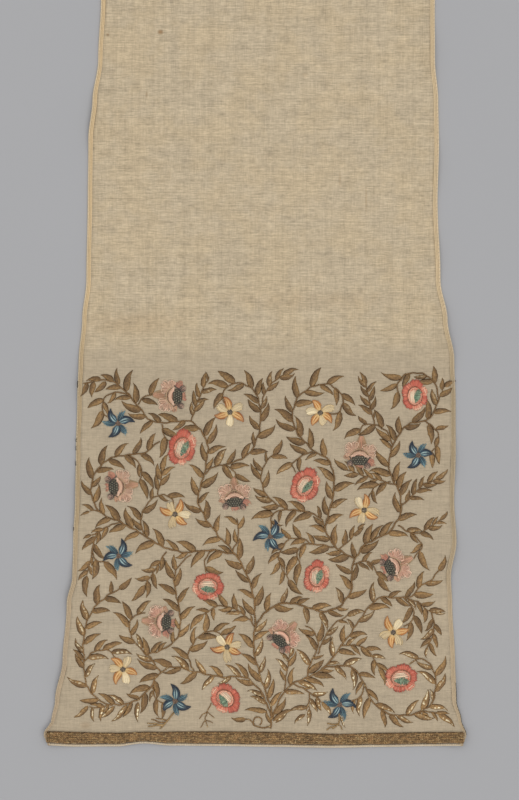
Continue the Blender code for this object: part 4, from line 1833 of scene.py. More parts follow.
VINES = [
    Vine(Ending.FLOWER, 1.7, [
        (11, 13.8), (12, 22), (4, 51), (-1, 72), (0, 88), (-2, 113), (-14, 139), (-29, 156), (-41, 178),
        (-36, 199), (-35, 221), (-47, 235), (-62, 234), (-74, 235), (-85, 247), (-96, 259), (-106, 264.5),
        (-114, 264.5), (-123, 262),
    ]),
    Vine(Ending.FLOWER, 1.4, [(-90, 253), (-99, 256), (-109, 250), (-109, 241), (-103, 236)]),
    Vine(Ending.FLOWER, 1.4, [(-84, 247), (-80, 252), (-72, 255)]),
    Vine(Ending.FLOWER, 1.4, [(-67, 233), (-66, 226), (-62, 221)]),
    Vine(Ending.LEAF, 1.7, [
        (-14, 139), (-29, 142), (-54, 141), (-69, 146), (-80, 153), (-96, 162), (-112, 170), (-118, 186),
        (-112, 202), (-102, 209), (-88, 211), (-78, 213), (-69, 221),
    ]),
    Vine(Ending.FLOWER, 1.4, [(-90, 211), (-82, 202), (-83, 190)]),
    Vine(Ending.LEAF, 1.3, [(-112, 170), (-116, 171), (-119, 170)]),
    Vine(Ending.LEAF, 1.4, [(-96, 162), (-107, 159), (-114, 154), (-118, 153)]),
    Vine(Ending.FLOWER, 1.4, [(-113, 155), (-117, 143), (-113, 134), (-105, 134)]),
    Vine(Ending.LEAF, 1.3, [(-117, 142), (-119, 132), (-121, 124)]),
    Vine(Ending.FLOWER, 1.4, [
        (-80, 153), (-82, 165), (-77, 176), (-68, 182), (-60, 179), (-58, 172),
    ]),
    Vine(Ending.LEAF, 1.2, [(-70, 182), (-68, 191), (-67, 199)]),
    Vine(Ending.FLOWER, 1.4, [(-36, 197), (-30, 202), (-22, 203), (-15, 199), (-14, 193)]),
    Vine(Ending.FLOWER, 1.6, [
        (-24, 203), (-14, 206), (-5, 211), (2, 224), (4, 240), (1, 254), (-6, 261), (-15, 262), (-23, 256),
        (-22, 248),
    ]),
    Vine(Ending.LEAF, 1.3, [(4, 240), (6, 252), (12, 262), (20, 268)]),
    Vine(Ending.FLOWER, 1.7, [
        (72, 136), (61, 142), (51, 156), (55, 176), (57, 190), (52, 208), (43, 213), (35, 221), (29, 229),
        (27, 240), (31, 252), (42, 260), (54, 261), (63, 252), (60, 241), (53, 240),
    ]),
    Vine(Ending.FLOWER, 1.4, [(42, 213), (32, 209), (27, 204), (29, 198)]),
    Vine(Ending.LEAF, 1.5, [
        (51, 157), (46, 166), (36, 170), (22, 172), (13, 177), (5, 189), (6, 202), (13, 211),
    ]),
    Vine(Ending.FLOWER, 1.4, [(23, 172), (13, 168), (11, 158)]),
    Vine(Ending.FLOWER, 1.8, [
        (-1, 85), (7, 97), (20, 104), (35, 102), (49, 98), (61, 102), (69, 113), (70, 130), (77, 144),
        (98, 157), (105, 170), (103, 186), (97, 198), (97, 210), (101, 221), (111, 233), (124, 236),
        (131, 247), (130, 261), (121, 269), (108, 268), (102, 260), (104, 254),
    ]),
    Vine(Ending.FLOWER, 1.4, [(122, 235), (130, 229), (132, 219), (126, 212)]),
    Vine(Ending.FLOWER, 1.4, [(99, 218), (96, 226), (87, 232), (78, 232), (75, 225)]),
    Vine(Ending.LEAF, 1.3, [(86, 232), (83, 245), (80, 261)]),
    Vine(Ending.FLOWER, 1.4, [(98, 191), (90, 190), (83, 183), (80, 177)]),
    Vine(Ending.LEAF, 1.3, [(101, 189), (88, 193), (77, 196), (67, 200)]),
    Vine(Ending.LEAF, 1.5, [(105, 174), (112, 180), (121, 189), (130, 193)]),
    Vine(Ending.LEAF, 1.5, [(103, 160), (115, 154), (125, 158), (133, 164)]),
    Vine(Ending.FLOWER, 1.4, [(114, 154), (120, 145), (114, 136)]),
    Vine(Ending.FLOWER, 1.5, [(58, 144), (46, 146), (35, 146), (30, 140), (33, 131)]),
    Vine(Ending.LEAF, 1.3, [(40, 147), (33, 151), (24, 150)]),
    Vine(Ending.LEAF, 1.4, [(71, 132), (82, 134), (89, 123)]),
    Vine(Ending.LEAF, 1.6, [
        (12, 20), (19, 37), (27, 46), (41, 52), (52, 60), (61, 72), (70, 84), (78, 96), (90, 108),
        (103, 108), (112, 109), (119, 116), (128, 122), (132, 127),
    ]),
    Vine(Ending.LEAF, 1.4, [(106, 108), (117, 105), (126, 98), (130, 97)]),
    Vine(Ending.FLOWER, 1.4, [(107, 108), (113, 101), (114, 93), (107, 87)]),
    Vine(Ending.LEAF, 1.4, [(127, 97), (129, 86), (124, 72)]),
    Vine(Ending.LEAF, 1.4, [(62, 73), (72, 74), (81, 70), (89, 58)]),
    Vine(Ending.FLOWER, 1.5, [(37, 50), (40, 61), (45, 72), (43, 83), (36, 88)]),
    Vine(Ending.LEAF, 1.4, [(45, 67), (50, 79), (56, 88), (66, 95)]),
    Vine(Ending.LEAF, 1.3, [(21, 41), (23, 55), (25, 67)]),
    Vine(Ending.FLOWER, 1.7, [
        (48, 57), (59, 59), (71, 57), (78, 47), (84, 34), (95, 25), (116, 25), (127, 32), (130, 46),
        (126, 60), (117, 64), (111, 60),
    ]),
    Vine(Ending.LEAF, 1.4, [(116, 25), (126, 26), (132, 24)]),
    Vine(Ending.FLOWER, 1.4, [(79, 46), (76, 37), (69, 33)]),
    Vine(Ending.LEAF, 1.5, [(28, 46), (39, 40), (48, 33)]),
    Vine(Ending.LEAF, 1.2, [(39, 40), (39, 34), (39, 28)]),
    Vine(Ending.LEAF, 1.6, [
        (12, 22), (3, 42), (-6, 50), (-24, 51), (-45, 55), (-61, 58), (-69, 53), (-75, 44), (-84, 35),
        (-97, 31), (-110, 33), (-121, 45), (-123, 61), (-123, 80), (-118, 97), (-108, 108), (-98, 114),
    ]),
    Vine(Ending.LEAF, 1.4, [(-102, 31), (-113, 29), (-119, 29)]),
    Vine(Ending.FLOWER, 1.4, [(-123, 62), (-116, 69), (-106, 70), (-98, 63)]),
    Vine(Ending.FLOWER, 1.4, [(-74, 45), (-71, 35), (-65, 32)]),
    Vine(Ending.FLOWER, 1.4, [(-44, 55), (-48, 67), (-43, 77), (-33, 84), (-24, 81), (-21, 77)]),
    Vine(Ending.FLOWER, 1.5, [(-68, 54), (-74, 63), (-83, 72), (-90, 83), (-88, 94), (-79, 97)]),
    Vine(Ending.LEAF, 1.5, [
        (-78, 67), (-66, 71), (-56, 79), (-54, 96), (-57, 112), (-58, 124), (-53, 133), (-46, 139),
    ]),
    Vine(Ending.FLOWER, 1.4, [(-30, 142), (-36, 136), (-35, 126)]),
    Vine(Ending.LEAF, 1.4, [(0, 87), (-6, 94), (-15, 100), (-26, 102), (-37, 96)]),
    Vine(Ending.LEAF, 1.3, [(-46, 235), (-41, 250), (-33, 267)]),
    Vine(Ending.LEAF, 1.3, [(-16, 141), (-12, 152), (-13, 165)]),
    Vine(Ending.LEAF, 1.3, [(-64, 141), (-70, 131), (-79, 117)]),
    Vine(Ending.LEAF, 1.3, [(24, 150), (17, 138), (24, 121)]),
    Vine(Ending.LEAF, 1.2, [(60, 143), (68, 149), (74, 157)]),
    Vine(Ending.BARE, 1.0, [(132, 251), (134, 254), (135.5, 258)]),
    Vine(Ending.BARE, 1.5, [
        (11, 15.5), (6, 14.3), (2, 14.6), (-1, 17), (-1.2, 20), (1.8, 22), (5, 20.3), (4.8, 17.4),
        (3.4, 16.6),
    ]),
    Vine(Ending.BARE, 1.4, [(-0.8, 17), (-3, 19.4), (-7, 20.4)]),
    Vine(Ending.BARE, 1.1, [(-31, 32), (-35, 25), (-35.4, 19), (-33.8, 14.5)]),
    Vine(Ending.BARE, 1.0, [(-34.5, 26), (-37.5, 24), (-40.6, 20.6)]),
    Vine(Ending.BARE, 1.0, [(-34.5, 26), (-32, 23.6), (-29.6, 21)]),
    Vine(Ending.BARE, 1.0, [(-35.4, 19.5), (-37.2, 17.5), (-39.4, 14.6)]),
    Vine(Ending.BARE, 1.0, [(-35.2, 20), (-32.8, 18.6), (-30.4, 17.2)]),
    Vine(Ending.SPRIG, 1.7, [(-58, 25.5), (-62, 20.8), (-65, 17), (-66.6, 15)]),
    Vine(Ending.BARE, 1.4, [(-62.6, 19.6), (-67, 20), (-71, 21.6)]),
    Vine(Ending.BARE, 1.4, [(-64, 18.2), (-69.6, 18.2), (-74.6, 20.6)]),
    Vine(Ending.SPRIG, 1.5, [(-65, 16.6), (-71, 16.6), (-77, 17.2)]),
    Vine(Ending.SPRIG, 1.5, [(-66, 16), (-71, 15.2), (-77, 14.8)]),
    Vine(Ending.SPRIG, 1.5, [(-65.4, 16.4), (-66.4, 14.8), (-68, 13.4)]),
    Vine(Ending.SPRIG, 1.7, [(60.6, 25), (60.2, 18), (57.6, 15.2), (56, 13.6)]),
    Vine(Ending.SPRIG, 1.6, [(59.6, 17.4), (55.8, 17.4), (51.8, 17.2)]),
    Vine(Ending.SPRIG, 1.6, [(58.4, 15.6), (54.6, 14.6), (51, 13.2)]),
    Vine(Ending.SPRIG, 1.3, [(60, 17), (61.6, 15.4), (62.6, 13.4)]),
]


class LooseLeaf(NamedTuple):
    """A listed leaf: foot in millimetres, heading in degrees, length, half width, bow and glint."""

    across: float
    along: float
    heading: float
    length: float
    half_width: float
    bow: float
    glint: float


LOOSE_LEAVES = [
    LooseLeaf(13, 19, 44, 17, 2.1, -0.16, 0.0),
    LooseLeaf(15, 18.2, 35, 12, 1.3, 0.1, 1.0),
    LooseLeaf(8.4, 25.6, 164, 15.5, 2.1, 0.1, 0.0),
    LooseLeaf(-6.5, 20.2, 186, 10.5, 1.9, -0.12, 0.0),
    LooseLeaf(38, 29, 178, 13, 2.1, 0.1, 0.3),
    LooseLeaf(36, 24, 208, 10, 1.6, 0.1, 1.0),
    LooseLeaf(39, 28, 274, 12, 1.8, -0.1, 1.0),
    LooseLeaf(-101.4, 263.6, 143, 10.5, 2.2, 0.1, 0.0),
    LooseLeaf(-110.6, 264.8, 168, 10.2, 2.2, 0.16, 0.0),
    LooseLeaf(-120.4, 263, 254, 11, 2.1, -0.1, 0.0),
    LooseLeaf(-115.6, 263.6, 250, 11.5, 2.3, 0.1, 0.0),
    LooseLeaf(-107.2, 263.6, 233, 11.5, 2.3, -0.1, 0.0),
    LooseLeaf(-96, 259.6, 181, 11.5, 2.2, 0.06, 0.0),
    LooseLeaf(-108.6, 250.8, 199, 13.4, 2.5, 0.08, 0.0),
    LooseLeaf(134.1, 257.6, 76, 8.4, 1.9, 0.1, 0.0),
    LooseLeaf(136.4, 259.8, 39, 9.2, 2.1, -0.1, 0.0),
    LooseLeaf(132.6, 253.1, 22, 11.3, 2.3, 0.1, 0.0),
    LooseLeaf(127.8, 241.1, 16, 13, 2.3, -0.12, 0.0),
    LooseLeaf(129.4, 262.4, 88, 12, 2.5, 0.06, 0.0),
    LooseLeaf(-120, 30, 230, 13, 1.9, -0.1, 0.4),
    LooseLeaf(-117, 29, 264, 10, 1.5, 0.1, 0.6),
    LooseLeaf(-109, 31, 248, 12, 1.9, 0.12, 0.9),
    LooseLeaf(-101, 30, 228, 14, 2.0, -0.12, 0.8),
    LooseLeaf(-92, 31, 238, 16, 2.1, -0.1, 0.9),
    LooseLeaf(-84, 33, 258, 14, 2.0, 0.1, 1.0),
    LooseLeaf(61.8, 22.4, 282, 8, 0.9, 0.1, 1.0),
]


class Leaf(NamedTuple):
    """A leaf: foot and sizes in millimetres, heading in degrees, tone round 1, glint from 0 to 1."""

    across: float
    along: float
    heading: float
    length: float
    half_width: float
    bow: float
    hook: float
    tone: float
    glint: float

    def spots(self) -> list[tuple[float, float, float]]:
        """Round spots that cover the leaf, each across, along and radius."""
        turn = math.radians(self.heading)
        spots = []
        for run, share in ((0.22, 0.7), (0.42, 0.95), (0.62, 0.85), (0.82, 0.5), (1.0, 0.2)):
            x = run * self.length
            y = self.bow * run * run * self.length
            if run > 0.9:
                y += self.hook * self.length
            spot_x = self.across + x * math.cos(turn) - y * math.sin(turn)
            spot_y = self.along + x * math.sin(turn) + y * math.cos(turn)
            spots.append((spot_x, spot_y, share * self.half_width))
        return spots


@dataclass
class LeafChart:
    """Grows the leaves along the stems, by one rule, wherever there is room."""

    spacing: tuple[float, float] = (5.3, 6.8)
    twig_spacing: tuple[float, float] = (3.2, 3.8)
    length: tuple[float, float] = (12.5, 16.0)
    twig_size: float = 0.76
    longest_twig: float = 48
    spread: tuple[float, float] = (30, 52)
    twig_spread: tuple[float, float] = (30, 42)
    slimness: tuple[float, float] = (0.166, 0.202)
    seed: int = 23
    leaves: list[Leaf] = field(default_factory=list)
    taken: list[tuple[float, float, float, int]] = field(default_factory=list)

    def grow(self) -> list[Leaf]:
        """All the leaves: those listed, the end leaves and those along the stems."""
        draw = random.Random(self.seed)
        lines = [smooth_route(vine.points, 1.5) for vine in VINES]
        for bloom in BLOOMS:
            reach = 0.44 if bloom.kind in (BloomKind.CORAL, BloomKind.ROSE) else 0.36
            self.taken.append((bloom.across, bloom.along, reach * min(bloom.wide, bloom.tall) + 0.4, -1))
        for i, line in enumerate(lines):
            half = VINES[i].width / 2
            self.taken += [(x, y, half, i) for x, y in line[::2]]
        for row in LOOSE_LEAVES:
            self.add(Leaf(*row[:5], row.bow, row.bow, 1.08 if row.along < 100 else 0.9, row.glint))
        for i, line in enumerate(lines):
            if VINES[i].ending is Ending.LEAF:
                self.end_leaf(line, i, draw)
        for i, line in enumerate(lines):
            if VINES[i].ending in (Ending.LEAF, Ending.FLOWER):
                self.along_stem(line, i, draw)
        return self.leaves

    def add(self, leaf: Leaf) -> None:
        """Keeps a leaf and marks its place as taken."""
        self.leaves.append(leaf)
        self.taken += [(*spot, -2) for spot in leaf.spots()]

    def free(self, leaf: Leaf, stem: int, closeness: float) -> bool:
        """Whether a leaf has room.

        Args:
            leaf: The leaf.
            stem: The number of the stem it grows from.
            closeness: How near others may come, as a share of touching.

        Returns:
            True where nothing lies in its place and it is inside the edges and the border.
        """
        taken = np.array(self.taken)
        for run, (x, y, radius) in enumerate(leaf.spots()):
            left, right = FORM.cloth_edges(np.array(y * MM))
            if not left / MM + 0.4 < x < right / MM - 0.4 or not 13.5 < y < 274:
                return False
            far = np.hypot(taken[:, 0] - x, taken[:, 1] - y)
            near = far < (taken[:, 2] + radius) * closeness
            if run == 0:
                near &= taken[:, 3] != stem
            if near.any():
                return False
        return True

    def made(self, foot: Array, heading: float, bow: float, size: float, draw: random.Random) -> Leaf:
        """A leaf at a place, with its own small differences."""
        length = draw.uniform(*self.length) * size
        low = max(0.0, 1 - foot[1] / 120)
        right = 0.5 + 0.5 * math.tanh(foot[0] / 60)
        # Painted glints come more often near the band and towards the right.
        glint = draw.random() < 0.08 + 0.7 * low * (0.45 + 0.55 * right)
        high = min(1.0, max(0.0, (foot[1] - 150) / 90))
        tone = draw.uniform(0.86, 1.14) * (1 + 0.17 * low - 0.12 * high)
        hook = math.copysign(draw.uniform(0.05, 0.17), bow)
        shine = draw.uniform(0.35, 1.0) * min(1.0, 0.25 + 1.4 * low) if glint else 0.0
        slim = draw.uniform(*self.slimness) * (1 - 0.16 * low)
        return Leaf(foot[0], foot[1], heading, length, slim * length, bow, hook, tone, shine)

    def end_leaf(self, line: Array, stem: int, draw: random.Random) -> None:
        """The leaf that a stem runs out into."""
        way = line[-1] - line[-3]
        heading = math.degrees(math.atan2(way[1], way[0]))
        for size in (0.95, 0.8, 0.65, 0.5):
            leaf = self.made(line[-1], heading + draw.uniform(-6, 6), draw.choice((-0.14, 0.14)), size, draw)
            if self.free(leaf, stem, 0.8):
                self.add(leaf)
                return

    def along_stem(self, line: Array, stem: int, draw: random.Random) -> None:
        """Leaves on alternate sides of a stem, a little uneven in their steps."""
        gaps = np.linalg.norm(np.diff(line, axis=0), axis=1)
        at = np.concatenate([[0.0], np.cumsum(gaps)])
        side = 1 if stem % 2 else -1
        twig = VINES[stem].ending is Ending.LEAF and at[-1] < self.longest_twig
        place = draw.uniform(3.0, 4.5)
        while place < at[-1] - 1.5:
            foot = np.array([np.interp(place, at, line[:, 0]), np.interp(place, at, line[:, 1])])
            nxt = min(place + 1.0, at[-1])
            before = max(place - 1.0, 0.0)
            way_x = np.interp(nxt, at, line[:, 0]) - np.interp(before, at, line[:, 0])
            way_y = np.interp(nxt, at, line[:, 1]) - np.interp(before, at, line[:, 1])
            stem_heading = math.degrees(math.atan2(way_y, way_x))
            whole = self.twig_size if twig else 1.0
            placed = self.try_side(foot, stem_heading, side, whole, stem, draw)
            if not placed and not twig:
                self.try_side(foot, stem_heading, -side, whole, stem, draw)
            side = -side
            place += draw.uniform(*(self.twig_spacing if twig else self.spacing))

    def try_side(
        self, foot: Array, stem_heading: float, side: int, whole: float, stem: int, draw: random.Random
    ) -> bool:
        """Tries a few leaves on one side of a stem and keeps the first with room."""
        for size, extra in ((1.0, 0), (0.92, 8), (0.92, -9), (0.84, 14), (0.76, 0), (0.68, 12), (0.6, -6)):
            lean = draw.uniform(*(self.twig_spread if whole < 1 else self.spread)) + extra
            bow = -side * draw.uniform(0.02, 0.17)
            if draw.random() < 0.4:
                bow = -bow
            leaf = self.made(foot, stem_heading + side * lean, bow, size * whole, draw)
            if self.free(leaf, stem, 0.74 if whole < 1 else 0.9):
                self.add(leaf)
                return True
        return False


@dataclass
class Vinework:
    """The trailing stems and their leaves, in couched metal cord over padding."""

    stem_shade: Colour = tint(130, 97, 58)
    twig_shade: Colour = tint(150, 120, 78)
    leaf_height: float = 0.85 * MM
    cord_finish: MetalCordFinish = MetalCordFinish(
        "stem_cord", 0.5, metallic=0.3, bump=0.4, sparkle=0.14, low_sparkle=0.6, upper_tone=0.84
    )
    leaf_finish: LeafFinish = LeafFinish("leaf_thread", 0.48, metallic=0.3, bump=0.5)

    def build(self) -> list[bpy.types.Object]:
        """Makes the stems, then the leaves."""
        return [self.stems(), self.leaves(LeafChart().grow())]

    def stems(self) -> bpy.types.Object:
        """The twisted stems, slightly thinner towards their ends."""
        draw = random.Random(17)
        strands = []
        for vine in VINES:
            line = self.shaken(smooth_route(vine.points, 1.2), draw) * MM
            count = len(line)
            radius = 0.98 * vine.width * MM / 2 * (1 - 0.25 * np.linspace(0, 1, count))
            points = np.column_stack([line, np.full(count, 0.55 * vine.width * MM)])
            waves = np.sin(np.linspace(0, count / 4, count) + draw.uniform(0, 6))
            tones = 1 + 0.12 * waves * draw.uniform(0.3, 1)
            low = 1 + 0.15 * max(0.0, 1 - vine.points[0][1] / 60)
            shade = self.twig_shade if vine.ending is Ending.SPRIG else self.stem_shade
            strands.append(Strand(points, radius, np.outer(tones * low, shade)))
        settings = {
            "Step": 0.8 * MM,
            "Pitch": 2.8 * MM,
            "Ply": 0.6,
            "Flatness": 0.62,
            "Sides": 8,
            "Material": self.cord_finish.material(),
        }
        stems = TwistedCord.run("vine_stems", strand_mesh("vine_lines", strands), settings)
        FORM.drape(stems.data, FORM.top)
        return settle(stems, "metal_thread")

    @staticmethod
    def shaken(line: Array, draw: random.Random) -> Array:
        """A stem's line with the small unevenness of hand work, in millimetres."""
        at = np.arange(len(line)) * 1.2
        moved = line.copy()
        for column in (0, 1):
            for wave, reach in ((7.0, 0.22), (13.0, 0.3)):
                turns = 2 * math.pi / (wave * draw.uniform(0.8, 1.2))
                moved[:, column] += reach * np.sin(at * turns + draw.uniform(0, 2 * math.pi))
        return moved

    def leaves(self, leaves: Sequence[Leaf]) -> bpy.types.Object:
        """The padded leaves, each bent from its own values."""
        rows = np.array(leaves)
        across = rows[:, 0] * MM
        forward = FORM.forward(across, rows[:, 1] * MM)
        feet = np.column_stack([across, forward, np.zeros(len(rows))])
        mesh = bpy.data.meshes.new("leaf_feet")
        mesh.vertices.add(len(rows))
        mesh.vertices.foreach_set("co", feet.ravel())
        carry(mesh, "leaf_foot", "FLOAT_VECTOR", feet)
        carry(mesh, "leaf_turn", "FLOAT", np.radians(rows[:, 2]))
        carry(mesh, "leaf_length", "FLOAT", rows[:, 3] * MM)
        carry(mesh, "leaf_width", "FLOAT", rows[:, 4] * MM)
        carry(mesh, "leaf_bow", "FLOAT", rows[:, 5])
        carry(mesh, "leaf_hook", "FLOAT", rows[:, 6])
        carry(mesh, "leaf_tone", "FLOAT", rows[:, 7])
        carry(mesh, "leaf_glint", "FLOAT", rows[:, 8])
        carry(mesh, "leaf_height", "FLOAT", self.leaf_height * (0.8 + 0.2 * rows[:, 3] / 18))
        settings = {"Stations": 9, "Around": 8, "Material": self.leaf_finish.material()}
        made = PaddedLeaves.run("vine_leaves", mesh, settings)
        FORM.drape(made.data, FORM.top)
        log.info("leaves: %d", len(leaves))
        return settle(made, "metal_thread")


# ---------------------------------------------------------------- the flowers


class Shape(Enum):
    """How a petal's width runs from its foot to its tip."""

    POINTED = "pointed"
    BLUNT = "blunt"
    ROUND = "round"


@dataclass(frozen=True)
class Petal:
    """A petal in its flower's own frame: millimetres, and degrees from +X."""

    heading: float
    start: float
    length: float
    half_width: float
    bow: float = 0.0
    shape: Shape = Shape.POINTED
    foot: Point = (0.0, 0.0)
    hook: float = 0.0

    def width_at(self, run: float) -> float:
        """The half width at a share of the way along."""
        if self.shape is Shape.POINTED:
            share = math.sin(math.pi * run**0.8) ** 0.8
        elif self.shape is Shape.BLUNT:
            share = min(1.0, 0.35 + 1.1 * run) * (1 - max(0.0, (run - 0.8) / 0.2) ** 2 * 0.45)
        else:
            share = math.sqrt(max(0.0, 1 - (2 * run - 1) ** 2)) * 0.9 + 0.1
        return self.half_width * share

    def spot(self, run: float, side: float) -> Point:
        """The place at a share of the length and a share of the half width."""
        tip = max(0.0, (run - 0.6) / 0.4)
        lean = math.atan(2 * self.bow * run + 5 * self.hook * tip)
        wide = self.width_at(run) * side
        x = self.start + self.length * run - wide * math.sin(lean)
        y = self.length * (self.bow * run * run + self.hook * tip * tip) + wide * math.cos(lean)
        turn = math.radians(self.heading)
        return (
            self.foot[0] + x * math.cos(turn) - y * math.sin(turn),
            self.foot[1] + x * math.sin(turn) + y * math.cos(turn),
        )


def oval(middle: Point, half: Point, heading: float) -> Petal:
    """A round petal given by its middle, its half length and half width, and its heading."""
    turn = math.radians(heading)
    foot = (middle[0] - half[0] * math.cos(turn), middle[1] - half[0] * math.sin(turn))
    return Petal(heading, 0, 2 * half[0], half[1], 0.0, Shape.ROUND, foot)


PetalColour = Callable[[float, float], Colour]


@dataclass
class Needle:
    """Sews threads in one flower's own frame, in millimetres, and lays them on the sash."""

    bloom: Bloom
    draw: random.Random
    strands: list[Strand] = field(default_factory=list)
    unevenness: float = 0.1
    edge_height: float = 0.22

    def placed(self, points: Array) -> Array:
        """Points of the flower's own frame as across, along and above the cloth, in metres."""
        turn = math.radians(self.bloom.turn)
        mirrored = self.bloom.kind in (BloomKind.BLUE, BloomKind.ROSE)
        x = points[:, 0] * (self.bloom.swirl if mirrored else 1)
        across = self.bloom.across + x * math.cos(turn) - points[:, 1] * math.sin(turn)
        along = self.bloom.along + x * math.sin(turn) + points[:, 1] * math.cos(turn)
        return np.column_stack([across, along, points[:, 2]]) * MM

    def thread(self, points: Sequence[Sequence[float]], width: float, shades: Sequence[Colour]) -> None:
        """Sews one thread of that width, with a shade at each point.

        Args:
            points: Its points in the flower's own frame, each across, along and above the cloth.
            width: The thread's width in millimetres.
            shades: One shade for the whole thread, or one for each point.
        """
        points = np.array(points, float)
        points[:, :2] += [self.draw.gauss(0, 0.05), self.draw.gauss(0, 0.05)]
        tone = self.draw.gauss(1.0, self.unevenness)
        shades = np.clip(np.array(shades) * tone, 0, 1)
        if len(shades) == 1:
            shades = np.repeat(shades, len(points), axis=0)
        thickness = np.full(len(points), width / 2 * MM)
        thickness[[0, -1]] *= 0.7
        self.strands.append(Strand(self.placed(points), thickness, shades))

    def lengthwise(
        self,
        petal: Petal,
        count: int,
        colour: PetalColour,
        pad: float = 0.7,
        width: float = 0.62,
        fray: float = 0.0,
    ) -> None:
        """Fills a petal with threads from its foot to its tip.

        Args:
            petal: The petal.
            count: How many threads.
            colour: The shade at a share along and a share across.
            pad: How high the petal stands in its middle, in millimetres.
            width: The threads' width in millimetres.
            fray: How unevenly the threads end, as a share of the length.
        """
        for i in range(count):
            side = -1 + (2 * i + 1) / count
            end = 1 - fray * self.draw.random()
            runs = [end * j / 6 for j in range(7)]
            points = []
            for run in runs:
                x, y = petal.spot(run, side * 0.96)
                ends = math.sin(math.pi * min(1.0, 0.12 + 0.86 * run)) ** 0.6
                arch = math.sqrt(max(0.0, 1 - side * side)) * ends
                points.append((x, y, self.edge_height + pad * arch + self.draw.uniform(0, 0.06)))
            self.thread(points, width, [colour(run, side) for run in runs])

    def crosswise(
        self,
        petal: Petal,
        count: int,
        colour: PetalColour,
        pad: float = 0.7,
        width: float = 0.62,
        fray: float = 0.0,
        low: float = 0.2,
    ) -> None:
        """Fills a petal with threads from side to side.

        Args:
            petal: The petal.
            count: How many threads.
            colour: The shade at a share along and a share across.
            pad: How high the petal stands in its middle, in millimetres.
            width: The threads' width in millimetres.
            fray: How unevenly the threads end, as a share of the half width.
            low: How high its edge lies, in millimetres.
        """
        for i in range(count):
            run = (i + 0.5) / count
            left, right = (0.96 - fray * self.draw.random() for _ in range(2))
            sides = [-left, -0.5 * left, 0.0, 0.5 * right, right]
            points = []
            for side in sides:
                x, y = petal.spot(run, side)
                arch = (1 - side * side) * math.sin(math.pi * (0.15 + 0.7 * run)) ** 0.5
                points.append((x, y, low + pad * arch))
            self.thread(points, width, [colour(run, side) for side in sides])

    def outline(
        self,
        petal: Petal,
        shade: Colour,
        width: float = 0.45,
        high: float = 0.4,
        ends: Point = (0.02, 1.0),
        sides: Sequence[int] = (-1, 1),
    ) -> None:
        """Runs a thread round a petal's edge.

        Args:
            petal: The petal.
            shade: The thread's shade.
            width: Its width in millimetres.
            high: How high it lies, in millimetres.
            ends: The shares of the length between which it runs.
            sides: Which edges it follows: -1 the right one, 1 the left one.
        """
        for side in sides:
            runs = np.linspace(ends[0], ends[1], 8)
            self.thread([(*petal.spot(run, side), high) for run in runs], width, [shade])

    def arc(
        self, middle: Point, radius: Point, angles: Point, shade: Colour, width: float, high: float
    ) -> None:
        """Lays a thread on an arc.

        Args:
            middle: The arc's middle.
            radius: Its reach each way in millimetres.
            angles: Where it starts and ends, in degrees.
            shade: The thread's shade.
            width: Its width in millimetres.
            high: How high it lies, in millimetres.
        """
        turns = np.radians(np.linspace(angles[0], angles[1], 9))
        x, y = middle
        wide, tall = radius
        points = [(x + wide * math.cos(turn), y + tall * math.sin(turn), high) for turn in turns]
        self.thread(points, width, [shade])

    def knot(self, middle: Point, reach: float, shade: Colour, high: float) -> None:
        """Ties one knot: two short fat stitches across each other."""
        turn = self.draw.uniform(0, math.pi)
        low = high * 0.6
        for angle in (turn, turn + math.pi / 2):
            dx = reach * math.cos(angle)
            dy = reach * math.sin(angle)
            ends = [(middle[0] - dx, middle[1] - dy, low), (middle[0] + dx, middle[1] + dy, low)]
            self.thread([ends[0], (*middle, high), ends[1]], reach * 1.3, [shade])


class Lobe(NamedTuple):
    """A lobe of the coral flower's ring: its angles, its reach, how pale it is, and its cream rim."""

    start: float
    end: float
    reach: float
    paleness: float
    rim: float


LOBES = [
    Lobe(6, 58, 0.99, 0.62, 1.0),
    Lobe(58, 120, 1.04, 0.05, 0.0),
    Lobe(120, 186, 0.99, 0.18, 0.0),
    Lobe(186, 256, 1.01, 0.26, 0.0),
    Lobe(256, 314, 0.97, 0.62, 0.85),
    Lobe(314, 366, 0.98, 0.30, 0.1),
]


